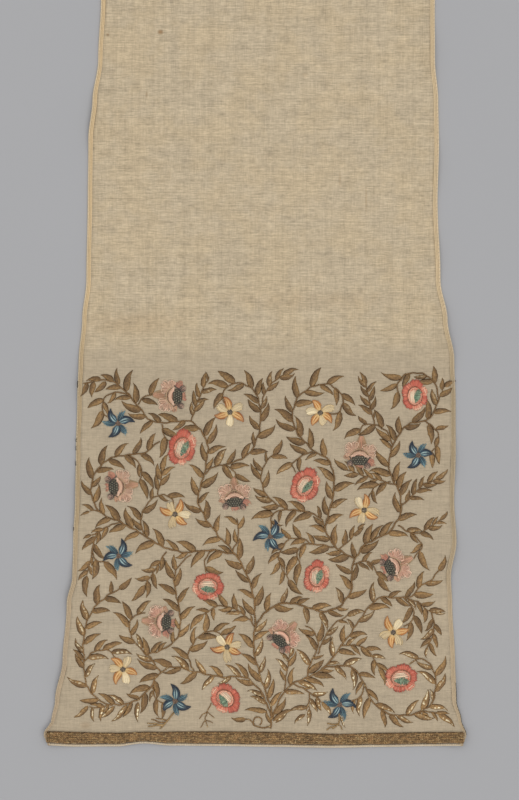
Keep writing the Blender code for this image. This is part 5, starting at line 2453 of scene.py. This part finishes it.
@dataclass
class CoralFlower:
    """A round flower: a lobed ring of satin stitch, a pale cup, and a green heart on one side."""

    deep: Colour = tint(190, 90, 68)
    middle: Colour = tint(208, 120, 94)
    light: Colour = tint(224, 164, 134)
    cream: Colour = tint(236, 200, 168)
    # A dark red for the deep lobes' rims, and painted shade between the lobes.
    dark_rim_and_shade: Colour = tint(150, 66, 48)
    # Painted shadow in the hollow between the ring and the cup.
    cup_edge_shadow: Colour = tint(146, 92, 62)
    cup: Colour = tint(240, 214, 182)
    blush: Colour = tint(222, 144, 116)
    green: Colour = tint(108, 137, 109)
    dull_green: Colour = tint(122, 134, 106)
    pale_green: Colour = tint(164, 176, 146)
    dark_green: Colour = tint(52, 68, 50)
    ring_threads: int = 112

    def sew(self, needle: Needle) -> None:
        """Sews the ring, the cup, the heart and the painted shadow in the hollow round the cup."""
        half_wide = needle.bloom.wide / 2
        half_tall = needle.bloom.tall / 2
        in_wide = half_wide * 0.56
        in_tall = half_tall * 0.61
        shift = needle.draw.uniform(-9, 9)
        lobes = self.own_lobes(needle.draw)
        first = lobes[0].start
        for i in range(self.ring_threads):
            angle = 360 * i / self.ring_threads
            place = (angle - shift - first) % 360 + first
            lobe = next(row for row in lobes if row.start <= place < row.end)
            scallop = math.sin(math.pi * (place - lobe.start) / (lobe.end - lobe.start)) ** 0.4
            reach = lobe.reach * (0.82 + 0.19 * scallop + needle.draw.uniform(-0.055, 0.04))
            points = []
            shades = []
            fleck = needle.draw.gauss(0, 0.2)
            cos, sin = math.cos(math.radians(angle)), math.sin(math.radians(angle))
            for run in (0.0, 0.18, 0.42, 0.66, 0.86, 1.0):
                x = (in_wide + (half_wide * reach - in_wide) * run) * cos
                y = (in_tall + (half_tall * reach - in_tall) * run) * sin
                high = 0.2 + 0.75 * math.sin(math.pi * (0.1 + 0.82 * run)) * (0.5 + 0.5 * scallop)
                points.append((x, y, high))
                shades.append(self.ring_shade(run, lobe, scallop, place, fleck))
            needle.thread(points, 0.76, shades)
        for lobe in lobes:
            if lobe.rim > 0.5:
                ends = (lobe.start + shift + 12, lobe.end + shift - 12)
                rim = between(self.light, self.cream, 0.55)
                needle.arc((0, 0), (half_wide * 0.84, half_tall * 0.84), ends, rim, 0.85, 1.1)
        self.sew_cup(needle, in_wide * 0.98, in_tall * 0.98)
        needle.arc((0, 0), (in_wide * 0.86, in_tall * 0.86), (60, 300), self.light, 0.7, 0.95)
        # Painted shadow round the cup, mostly on its left, and a short arc on its right.
        needle.arc((0, 0), (in_wide * 1.02, in_tall * 1.02), (62, 292), self.cup_edge_shadow, 0.4, 0.85)
        needle.arc((0, 0), (in_wide * 1.04, in_tall * 1.04), (-50, 44), self.cup_edge_shadow, 0.32, 0.8)

    @staticmethod
    def own_lobes(draw: random.Random) -> list[Lobe]:
        """The lobes of one flower: the usual ones, each a little moved, with its own reach and paleness."""
        starts = [lobe.start + draw.uniform(-8, 8) for lobe in LOBES]
        lobes = []
        for lobe, start, end in zip(LOBES, starts, starts[1:] + [starts[0] + 360]):
            paleness = min(1.0, max(0.0, lobe.paleness + draw.uniform(-0.24, 0.24)))
            lobes.append(Lobe(start, end, lobe.reach * draw.uniform(0.94, 1.04), paleness, lobe.rim))
        return lobes

    def ring_shade(self, run: float, lobe: Lobe, scallop: float, place: float, fleck: float) -> Colour:
        """The ring's colour, with painted shade between the lobes and at its inner end on the left.

        Args:
            run: The share of the ring's width, from the cup outwards.
            lobe: The lobe that the thread is in.
            scallop: How near the thread is to the lobe's middle, from 0 to 1.
            place: The thread's angle in degrees.
            fleck: The thread's own paleness.

        Returns:
            The colour there.
        """
        pale = min(1.0, max(0.0, lobe.paleness + fleck + 0.25 * (run - 0.5)))
        if pale < 0.5:
            colour = between(self.deep, self.middle, pale * 2)
        else:
            colour = between(self.middle, self.light, pale * 2 - 1)
        # Painted shadow: the ring's inner end is darker on the left, next to the cup.
        if run < 0.25 and 100 < place < 270:
            colour = between(colour, self.cup_edge_shadow, 0.22)
        if run > 0.8:
            rim = self.cream if lobe.rim > 0.5 else self.dark_rim_and_shade
            share = 0.3 * lobe.rim if lobe.rim > 0.5 else 0.55 + 1.5 * max(0.0, fleck)
            colour = between(colour, rim, min(1.0, share))
        # Painted shade between the lobes.
        if scallop < 0.45:
            colour = between(colour, self.dark_rim_and_shade, 0.7 * (1 - scallop / 0.45))
        return colour

    def sew_cup(self, needle: Needle, wide: float, tall: float) -> None:
        """Sews the pale cup and the green heart over one side of it."""
        count = 13
        for i in range(count):
            x = wide * (-1 + (2 * i + 1) / count)
            reach = tall * math.sqrt(max(0.05, 1 - (x / wide) ** 2))
            runs = (-1.0, -0.72, -0.4, 0.0, 0.4, 0.72, 1.0)
            points = []
            for run in runs:
                points.append((x + 0.15 * math.sin(3 * run), reach * run, 0.4 + 0.35 * (1 - run * run)))
            side = 0.85 if x < -0.68 * wide or x > 0.14 * wide else 0.0
            shades = [between(self.cup, self.blush, min(1.0, side + 1.2 * abs(run) ** 2.5)) for run in runs]
            needle.thread(points, 0.8, shades)
        needle.arc((0, 0), (0.72 * wide, 0.8 * tall), (48, 138), self.middle, 0.5, 0.86)
        heart = Petal(-99, 0, 1.5 * tall, 0.58 * wide, -0.08, Shape.POINTED, (0.54 * wide, 0.74 * tall))

        def shade(run: float, side: float) -> Colour:
            """The heart's uneven green."""
            return self.heart_shade(run, needle.draw)

        needle.crosswise(heart, 15, shade, 0.4, 0.78, 0.34, 0.72)
        for i in range(10):
            spot = heart.spot(0.2 + 0.06 * i, needle.draw.uniform(-0.6, 0.6))
            needle.knot(spot, 0.36, self.dark_green if i % 3 else self.pale_green, 1.3)

    def heart_shade(self, run: float, draw: random.Random) -> Colour:
        """A green of the heart, duller towards its upper end and flecked with dark and pale."""
        colour = between(self.dull_green, self.green, min(1.0, 1.2 * run + draw.uniform(0, 0.5)))
        chance = draw.random()
        if chance < 0.16:
            return between(colour, self.dark_green, 0.6)
        return between(colour, self.pale_green, 0.6) if chance > 0.86 else colour


@dataclass
class RoseFlower:
    """A full faded flower seen from the side, its stem at the top and a dark trellis below."""

    olive: Colour = tint(156, 130, 92)
    flush: Colour = tint(190, 140, 110)
    pale: Colour = tint(220, 178, 152)
    pink: Colour = tint(200, 150, 126)
    rose: Colour = tint(176, 116, 96)
    faded: Colour = tint(192, 158, 124)
    ground: Colour = tint(186, 160, 130)
    line: Colour = tint(126, 98, 70)
    white: Colour = tint(230, 200, 174)
    trellis: Colour = tint(46, 46, 36)
    trellis_ground: Colour = tint(84, 74, 58)
    dot: Colour = tint(156, 150, 126)
    sepal: Colour = tint(78, 62, 54)
    sepal_fill: Colour = tint(164, 134, 114)

    def sew(self, needle: Needle) -> None:
        """Sews the petals from the outside in. The flowers nearer the band have faded less."""
        fresh = min(1.0, max(0.0, (200 - needle.bloom.along) / 90))
        self.sew_flames(needle)
        self.sew_bell(needle, fresh)
        self.sew_lobe(needle, (-3.2, 0.8), 142, fresh)
        self.sew_lobe(needle, (4.0, -0.6), 44, fresh)
        self.sew_body(needle, fresh)
        self.sew_trellis(needle)
        self.sew_scroll(needle, -1, (-6.8, -8.0))
        self.sew_scroll(needle, 1, (5.8, -9.0))

    def uneven(self, needle: Needle, first: Colour, second: Colour, share: float) -> Colour:
        """A colour between two, a little nearer one or the other by chance."""
        return between(first, second, min(1.0, max(0.0, share + needle.draw.uniform(-0.3, 0.3))))

    def sew_flames(self, needle: Needle) -> None:
        """The frayed petals low on each side and under the trellis."""
        left = Petal(192, 5.6, 6.4, 2.7, 0.08, Shape.POINTED, (0, -1.0))
        right = Petal(-33, 6.2, 6.6, 2.9, 0.1, Shape.POINTED, (0.6, -1.4))
        tongue = Petal(-92, 0, 4.2, 3.3, 0.0, Shape.BLUNT, (0.2, -7.6))
        for petal, first, last, count in (
            (left, self.faded, self.flush, 9),
            (right, self.rose, self.flush, 9),
            (tongue, self.flush, self.rose, 10),
        ):

            def shade(run: float, side: float, first: Colour = first, last: Colour = last) -> Colour:
                """From one colour at the foot to the other at the tip."""
                return self.uneven(needle, first, last, run)

            needle.lengthwise(petal, count, shade, 0.3, 0.66, 0.42)

    def sew_lobe(self, needle: Needle, foot: Point, heading: float, fresh: float) -> None:
        """Three ragged petals fanned from one foot, pale at their outer ends and faded towards the cloth.

        Args:
            needle: What sews them.
            foot: Where they start.
            heading: Where the middle one points, in degrees.
            fresh: How little they have faded, from 0 to 1.
        """
        fill = between(self.ground, self.pink, 0.3 + 0.5 * fresh)
        edge = between(self.faded, self.pale, 0.7 + 0.3 * fresh)
        vein = between(self.pink, self.rose, 0.4 + 0.5 * fresh)

        def shade(run: float, side: float) -> Colour:
            """Paler towards the tip and the sides."""
            return self.uneven(needle, fill, edge, max(0.0, 2 * run - 1) + 0.3 * abs(side) ** 3)

        for lean, length, bow in ((-36, 7.6, -0.12), (36, 7.4, 0.12), (0, 9.2, 0.04)):
            turn = heading + lean + needle.draw.uniform(-6, 6)
            petal = Petal(turn, 0, length * needle.draw.uniform(0.92, 1.06), 2.5, bow, Shape.BLUNT, foot)
            needle.lengthwise(petal, 8, shade, 0.35, 0.66, 0.24)
            needle.outline(petal, between(edge, self.white, 0.5), 0.6, 0.62, (0.6, 0.98))
            tip = petal.spot(0.84, 0.0)
            needle.arc(tip, (1.4, 1.1), (turn - 80, turn + 80), between(edge, self.white, 0.6), 0.55, 0.7)
            for side in (-0.45, 0.1, 0.55):
                near = petal.spot(needle.draw.uniform(0.2, 0.4), side)
                far = petal.spot(needle.draw.uniform(0.6, 0.85), side)
                needle.thread([(*near, 0.7), (*far, 0.74)], 0.36, [vein])

    def sew_bell(self, needle: Needle, fresh: float) -> None:
        """The petal under the stem, widening from its top, streaked with olive at its sides."""
        bell = Petal(-90, 0, 10.4, 4.3, 0.0, Shape.BLUNT, (0.6, 12.4))
        middle = between(self.flush, self.pink, 0.4 * fresh)

        def shade(run: float, side: float) -> Colour:
            """More olive towards the sides and the lower edge."""
            return self.uneven(needle, middle, self.olive, abs(side) ** 2 + 0.25 * run)

        needle.lengthwise(bell, 10, shade, 0.4, 0.72, 0.2)

    def sew_body(self, needle: Needle, fresh: float) -> None:
        """Curved bands over the trellis: a brown line outside, and pink rolls with pale ends inside it."""
        for i in range(12):
            x = -5.4 + 0.98 * i
            top = 2.6 - 0.06 * x * x + needle.draw.uniform(-0.3, 0.3)
            shade = self.uneven(needle, self.flush, self.pink, 0.5 * fresh + 0.3)
            needle.thread([(x * 0.92, -2.4, 0.5), (x, 0.2, 0.7), (x * 1.04, top, 0.4)], 0.76, [shade])
        needle.arc((0, -3.4), (6.9, 6.4), (16, 164), between(self.olive, self.faded, 0.6), 0.7, 0.8)
        needle.arc((0, -3.6), (6.5, 5.7), (12, 168), self.line, 0.5, 0.86)
        for i, share in enumerate((0.2, 0.9, 0.5, 1.0)):
            radius = (6.0 - 0.56 * i, 4.9 - 0.56 * i)
            shade = between(between(self.faded, self.pink, fresh), self.pale, share)
            needle.arc((0, -3.9), radius, (8 + 4 * i, 172 - 4 * i), shade, 0.74, 0.9 + 0.06 * i)
        for side in (-1, 1):
            for reach in (0.5, 1.1):
                shade = between(self.pale, self.white, 0.4 + 0.5 * fresh)
                ends = (90 - side * 120, 90 + side * 80)
                needle.arc((side * 5.2, -2.6), (reach, reach), ends, shade, 0.66, 1.1)

    def sew_trellis(self, needle: Needle) -> None:
        """A dark trellis over a dull ground, with pale dots in its gaps."""
        for i in range(14):
            y = -2.2 - 0.48 * i
            reach = 5.5 * math.sqrt(max(0.2, 1 - ((y + 5.0) / 3.8) ** 2))
            needle.thread([(-reach, y, 0.6), (0, y, 0.8), (reach, y, 0.6)], 0.66, [self.trellis_ground])
        for i in range(-4, 5):
            for lean in (-1, 1):
                top = (1.7 * i + 1.9 * lean, -2.2)
                foot = (1.7 * i - 1.9 * lean, -8.2)
                if abs(top[0]) < 5.6 and abs(foot[0]) < 4.6:
                    middle = (0.5 * (top[0] + foot[0]), -5.2, 1.15)
                    needle.thread([(*top, 0.9), middle, (*foot, 0.85)], 0.5, [self.trellis])
        for row in range(4):
            for i in range(-3, 4):
                x = 1.7 * i + (0.85 if row % 2 else 0)
                if abs(x) < 4.9 - 0.5 * abs(row - 1):
                    shade = self.uneven(needle, self.trellis_ground, self.dot, 0.8)
                    needle.knot((x, -3.0 - 1.5 * row), 0.42, shade, 1.35)
        needle.arc((0, -4.6), (5.4, 4.1), (200, 340), self.trellis, 0.5, 0.9)

    def sew_scroll(self, needle: Needle, side: int, middle: Point) -> None:
        """A sepal that starts as a thin horn and rolls up at a lower corner.

        Args:
            needle: What sews it.
            side: -1 for the left one, 1 for the right one.
            middle: The middle of the roll.
        """
        x, y = middle
        horn = [
            (side * 7.8, -2.4, 0.6),
            (side * 6.4, -4.0, 1.0),
            (x * 0.92, y + 2.6, 0.9),
            (x - side * 1.2, y + 1.4, 0.8),
        ]
        needle.thread(horn, 0.7, [self.sepal])
        roll = oval(middle, (2.2, 1.8), -90 + side * 30)
        shade = lambda run, across: self.uneven(needle, self.sepal_fill, self.sepal, 0.0)
        needle.lengthwise(roll, 6, shade, 0.4, 0.68)
        needle.arc(middle, (2.0, 2.2), (90 - side * 120, 90 + side * 150), self.sepal, 0.6, 0.85)
        needle.arc((x, y + 0.2), (0.9, 1.0), (0, 240), self.sepal, 0.4, 1.0)


@dataclass
class GoldFlower:
    """A six-petalled star: three narrow amber petals between three broad cream ones."""

    amber: Colour = tint(184, 122, 56)
    peach: Colour = tint(226, 180, 118)
    brown: Colour = tint(142, 78, 34)
    foot: Colour = tint(212, 180, 118)
    cream: Colour = tint(234, 216, 178)
    straw: Colour = tint(204, 174, 120)
    sand: Colour = tint(194, 170, 128)
    heart: Colour = tint(128, 114, 98)
    heart_dark: Colour = tint(86, 74, 62)

    def sew(self, needle: Needle) -> None:
        """Sews the cream petals, the amber ones over them, and the heart."""
        reach = needle.bloom.wide / 2
        brightest = needle.draw.randrange(3)
        depth = needle.draw.uniform(0.25, 1.0)
        for i in range(3):
            bright = 1.0 if i == brightest else needle.draw.uniform(0.0, 0.5)
            length = reach * needle.draw.uniform(0.84, 0.98) - 1.2
            bow = self.bend(needle.draw)
            turn = 150 + 120 * i + needle.draw.uniform(-8, 8)
            petal = Petal(turn, 1.2, length, 2.8, 1.3 * bow, Shape.BLUNT, (0, 0), 0.6 * bow)
            shade = lambda run, side, share=bright: self.cream_shade(run, side, share)
            needle.lengthwise(petal, 9, shade, 0.45, 0.78, 0.2 - 0.14 * bright)
        for i in range(3):
            length = reach * needle.draw.uniform(0.96, 1.08) - 1.2
            bow = self.bend(needle.draw)
            turn = 90 + 120 * i + needle.draw.uniform(-8, 8)
            petal = Petal(turn, 1.2, length, 2.5, bow, Shape.POINTED, (0, 0), 0.8 * bow)
            needle.lengthwise(petal, 9, lambda run, side: self.amber_shade(run, side, depth), 0.6, 0.68, 0.06)
            back = -1 if bow > 0 else 1
            needle.outline(petal, between(self.amber, self.brown, depth), 0.66, 0.55, (0.36, 1.0), (back,))
            inner = between(self.amber, self.brown, 0.6 * depth)
            needle.outline(petal, inner, 0.42, 0.5, (0.55, 1.0), (-back,))
        for i in range(14):
            angle = 2 * math.pi * i / 9
            out = 0.6 if i > 8 else 1.6
            colour = self.heart if i % 2 else self.heart_dark
            needle.knot((out * math.cos(angle), out * math.sin(angle)), 0.5, colour, 1.1)

    @staticmethod
    def bend(draw: random.Random) -> float:
        """How far a petal bends, to either side."""
        return draw.uniform(0.08, 0.26) * draw.choice((-1, 1))

    def cream_shade(self, run: float, side: float, bright: float) -> Colour:
        """Cream or sand, by how bright the petal is, with straw at the foot and the edges."""
        colour = between(between(self.sand, self.cream, bright), self.straw, 0.6 if abs(side) > 0.7 else 0.1)
        return between(self.straw, colour, min(1.0, run * 2.4))

    def amber_shade(self, run: float, side: float, depth: float) -> Colour:
        """Straw at the foot, peach inside and amber at the edges, with a brown stroke and a brown tip."""
        colour = self.amber if abs(side) > 0.6 else self.peach
        if abs(side) < 0.16 and 0.3 < run < 0.75:
            colour = between(self.amber, self.brown, 0.5 * depth)
        elif side > 0.6:
            colour = between(self.amber, self.brown, 0.6 * depth)
        colour = between(self.foot, colour, min(1.0, run * 2.6))
        return between(colour, self.brown, max(0.0, (run - 0.6) / 0.4) * (0.25 + 0.75 * depth))


@dataclass
class BlueFlower:
    """A swirling star: three hooked petals with dark backs, and three frayed paler ones."""

    navy: Colour = tint(22, 32, 46)
    blue: Colour = tint(42, 70, 88)
    sky: Colour = tint(100, 132, 140)
    ice: Colour = tint(164, 184, 178)
    teal: Colour = tint(36, 64, 82)
    aqua: Colour = tint(112, 146, 150)
    foot: Colour = tint(96, 126, 124)
    heart: Colour = tint(124, 98, 80)

    def sew(self, needle: Needle) -> None:
        """Sews the thin petals, the broad ones over them, and the heart."""
        reach = needle.bloom.wide / 2
        for i in range(3):
            heading = 140 + 120 * i + needle.draw.uniform(-8, 8)
            length = reach * needle.draw.uniform(0.88, 1.02) - 1.3
            petal = Petal(heading, 1.3, length, 2.1, 0.16, Shape.POINTED, (0, 0), 0.12)
            needle.lengthwise(petal, 9, self.thin_shade, 0.4, 0.5, 0.36)
            for j in range(7):
                run = 0.3 + 0.08 * j
                side = 1 if j % 2 else -1
                root = petal.spot(run, side * 0.2)
                tip = petal.spot(run + 0.2, side * needle.draw.uniform(1.1, 1.7))
                pale = self.aqua if j % 3 else self.ice
                needle.thread([(*root, 0.62), (*tip, 0.35)], 0.42, [self.teal, pale])
        for i in range(3):
            heading = 62 + 120 * i + needle.draw.uniform(-6, 6)
            length = reach * needle.draw.uniform(0.86, 0.96) - 1.2
            petal = Petal(heading, 1.2, length, 2.7, 0.4, Shape.POINTED, (0, 0), 0.26)
            needle.lengthwise(petal, 12, self.broad_shade, 0.65, 0.6)
            needle.outline(petal, self.navy, 0.66, 0.5, (0.1, 1.0), (-1,))
            needle.outline(petal, self.navy, 0.5, 0.46, (0.3, 1.0), (1,))
        for i in range(11):
            angle = 2 * math.pi * i / 7
            out = 0.5 if i > 6 else 1.35
            needle.knot((out * math.cos(angle), out * math.sin(angle)), 0.58, self.heart, 1.05)

    def broad_shade(self, run: float, side: float) -> Colour:
        """Navy on the back of the curve and at the tip, with pale streaks inside it."""
        if side < -0.6 or run > 0.84:
            return between(self.navy, self.blue, 0.6 if run < 0.2 else 0.08)
        colour = self.blue
        if int((side + 1) * 3) % 2 == 0:
            colour = between(self.foot, self.ice if side < 0.5 else self.sky, min(1.0, run * 3))
        return between(colour, self.navy, min(1.0, max(0.0, (run - 0.48) / 0.3)))

    def thin_shade(self, run: float, side: float) -> Colour:
        """Navy at the foot, then teal and paler streaks out to the tip."""
        colour = between(self.navy, self.teal, min(1.0, run * 1.2))
        if int((side + 1) * 4) % 2 == 0:
            colour = between(colour, self.aqua, min(0.85, 0.1 + run))
        elif run > 0.75:
            colour = between(colour, self.sky, 0.5)
        return colour


@dataclass
class Blossoms:
    """All the flowers, one piece for each kind, in real laid silk threads."""

    seed: int = 5
    finish: SilkFinish = SilkFinish("flower_silk", roughness=0.42, sheen=0.25, bump=0.25, bump_depth=0.1 * MM)
    slots: dict[BloomKind, str] = field(
        default_factory=lambda: {
            BloomKind.CORAL: "coral_silk",
            BloomKind.ROSE: "rose_silk",
            BloomKind.GOLD: "gold_silk",
            BloomKind.BLUE: "blue_silk",
        }
    )

    def build(self) -> list[bpy.types.Object]:
        """Sews each kind's flowers and makes their threads."""
        sewers = {
            BloomKind.CORAL: CoralFlower(),
            BloomKind.ROSE: RoseFlower(),
            BloomKind.GOLD: GoldFlower(),
            BloomKind.BLUE: BlueFlower(),
        }
        material = self.finish.material()
        draw = random.Random(self.seed)
        pieces = []
        for kind, sewer in sewers.items():
            strands = []
            for bloom in (row for row in BLOOMS if row.kind is kind):
                needle = Needle(bloom, draw)
                sewer.sew(needle)
                strands += needle.strands
            name = kind.value + "_flowers"
            settings = {"Sides": 5, "Flatness": 0.62, "Material": material}
            piece = LaidThreads.run(name, strand_mesh(name + "_threads", strands), settings)
            FORM.drape(piece.data, FORM.top)
            pieces.append(settle(piece, self.slots[kind]))
        return pieces


# ---------------------------------------------------------------- floor, light and camera


@dataclass
class Studio:
    """The grey floor, soft light from both sides, and a camera straight above the banded end."""

    floor_half: float = 40.0
    sky_strength: float = 0.7
    # Each lamp's strength, the width of its light, its tilt from straight down, and where it stands
    # round the sash, in degrees from +X.
    lamps: tuple[tuple[float, float, float, float], ...] = ((0.62, 36, 38, -48), (0.38, 60, 30, 128))
    camera_height: float = 1.6
    lens: float = 100
    sensor: float = 36
    frame_across: float = 3.24 * MM
    frame_forward: float = -749.8 * MM

    def build(self) -> None:
        """Adds the floor, the world, the lamps and the camera."""
        half = self.floor_half
        corners = [(-half, -half, 0), (half, -half, 0), (half, half, 0), (-half, half, 0)]
        floor_mesh = new_mesh("floor", np.array(corners) - [0, 0, 0.0002], [[0, 1, 2, 3]])
        floor_mesh.materials.append(FloorFinish("floor_paper", roughness=0.95).material())
        floor = link_object("floor", floor_mesh)
        world = bpy.data.worlds.new("soft_sky")
        world.use_nodes = True
        sky = world.node_tree.nodes["Background"]
        sky.inputs["Color"].default_value = (1, 1, 1, 1)
        sky.inputs["Strength"].default_value = self.sky_strength
        bpy.context.scene.world = world
        for strength, width, tilt, heading in self.lamps:
            lamp_data = bpy.data.lights.new("soft_lamp", "SUN")
            lamp_data.energy = strength
            lamp_data.angle = math.radians(width)
            lamp = link_object("soft_lamp", lamp_data)
            lamp.rotation_euler = (math.radians(tilt), 0, math.radians(heading + 90))
        camera_data = bpy.data.cameras.new("camera")
        camera_data.lens = self.lens
        camera_data.sensor_width = self.sensor
        camera = link_object("camera", camera_data)
        camera.location = (self.frame_across, self.frame_forward, self.camera_height)
        bpy.context.scene.camera = camera
        bpy.context.scene.view_settings.view_transform = "Standard"


def main() -> None:
    """Builds the sash piece by piece, then its studio."""
    logging.basicConfig(level=logging.INFO, format="%(name)s: %(message)s")
    cloth = GroundCloth().build()
    sewn = []
    for side in Side:
        sewn += SideEdging(side).build()
    for part in (EndBand(), EndEdging(), FarHem(), Vinework(), Blossoms()):
        sewn += part.build()
    left, right = FORM.cloth_edges(np.linspace(CLOTH_START, CLOTH_END, 400))
    Studio().build()


if __name__ == "__main__":
    main()
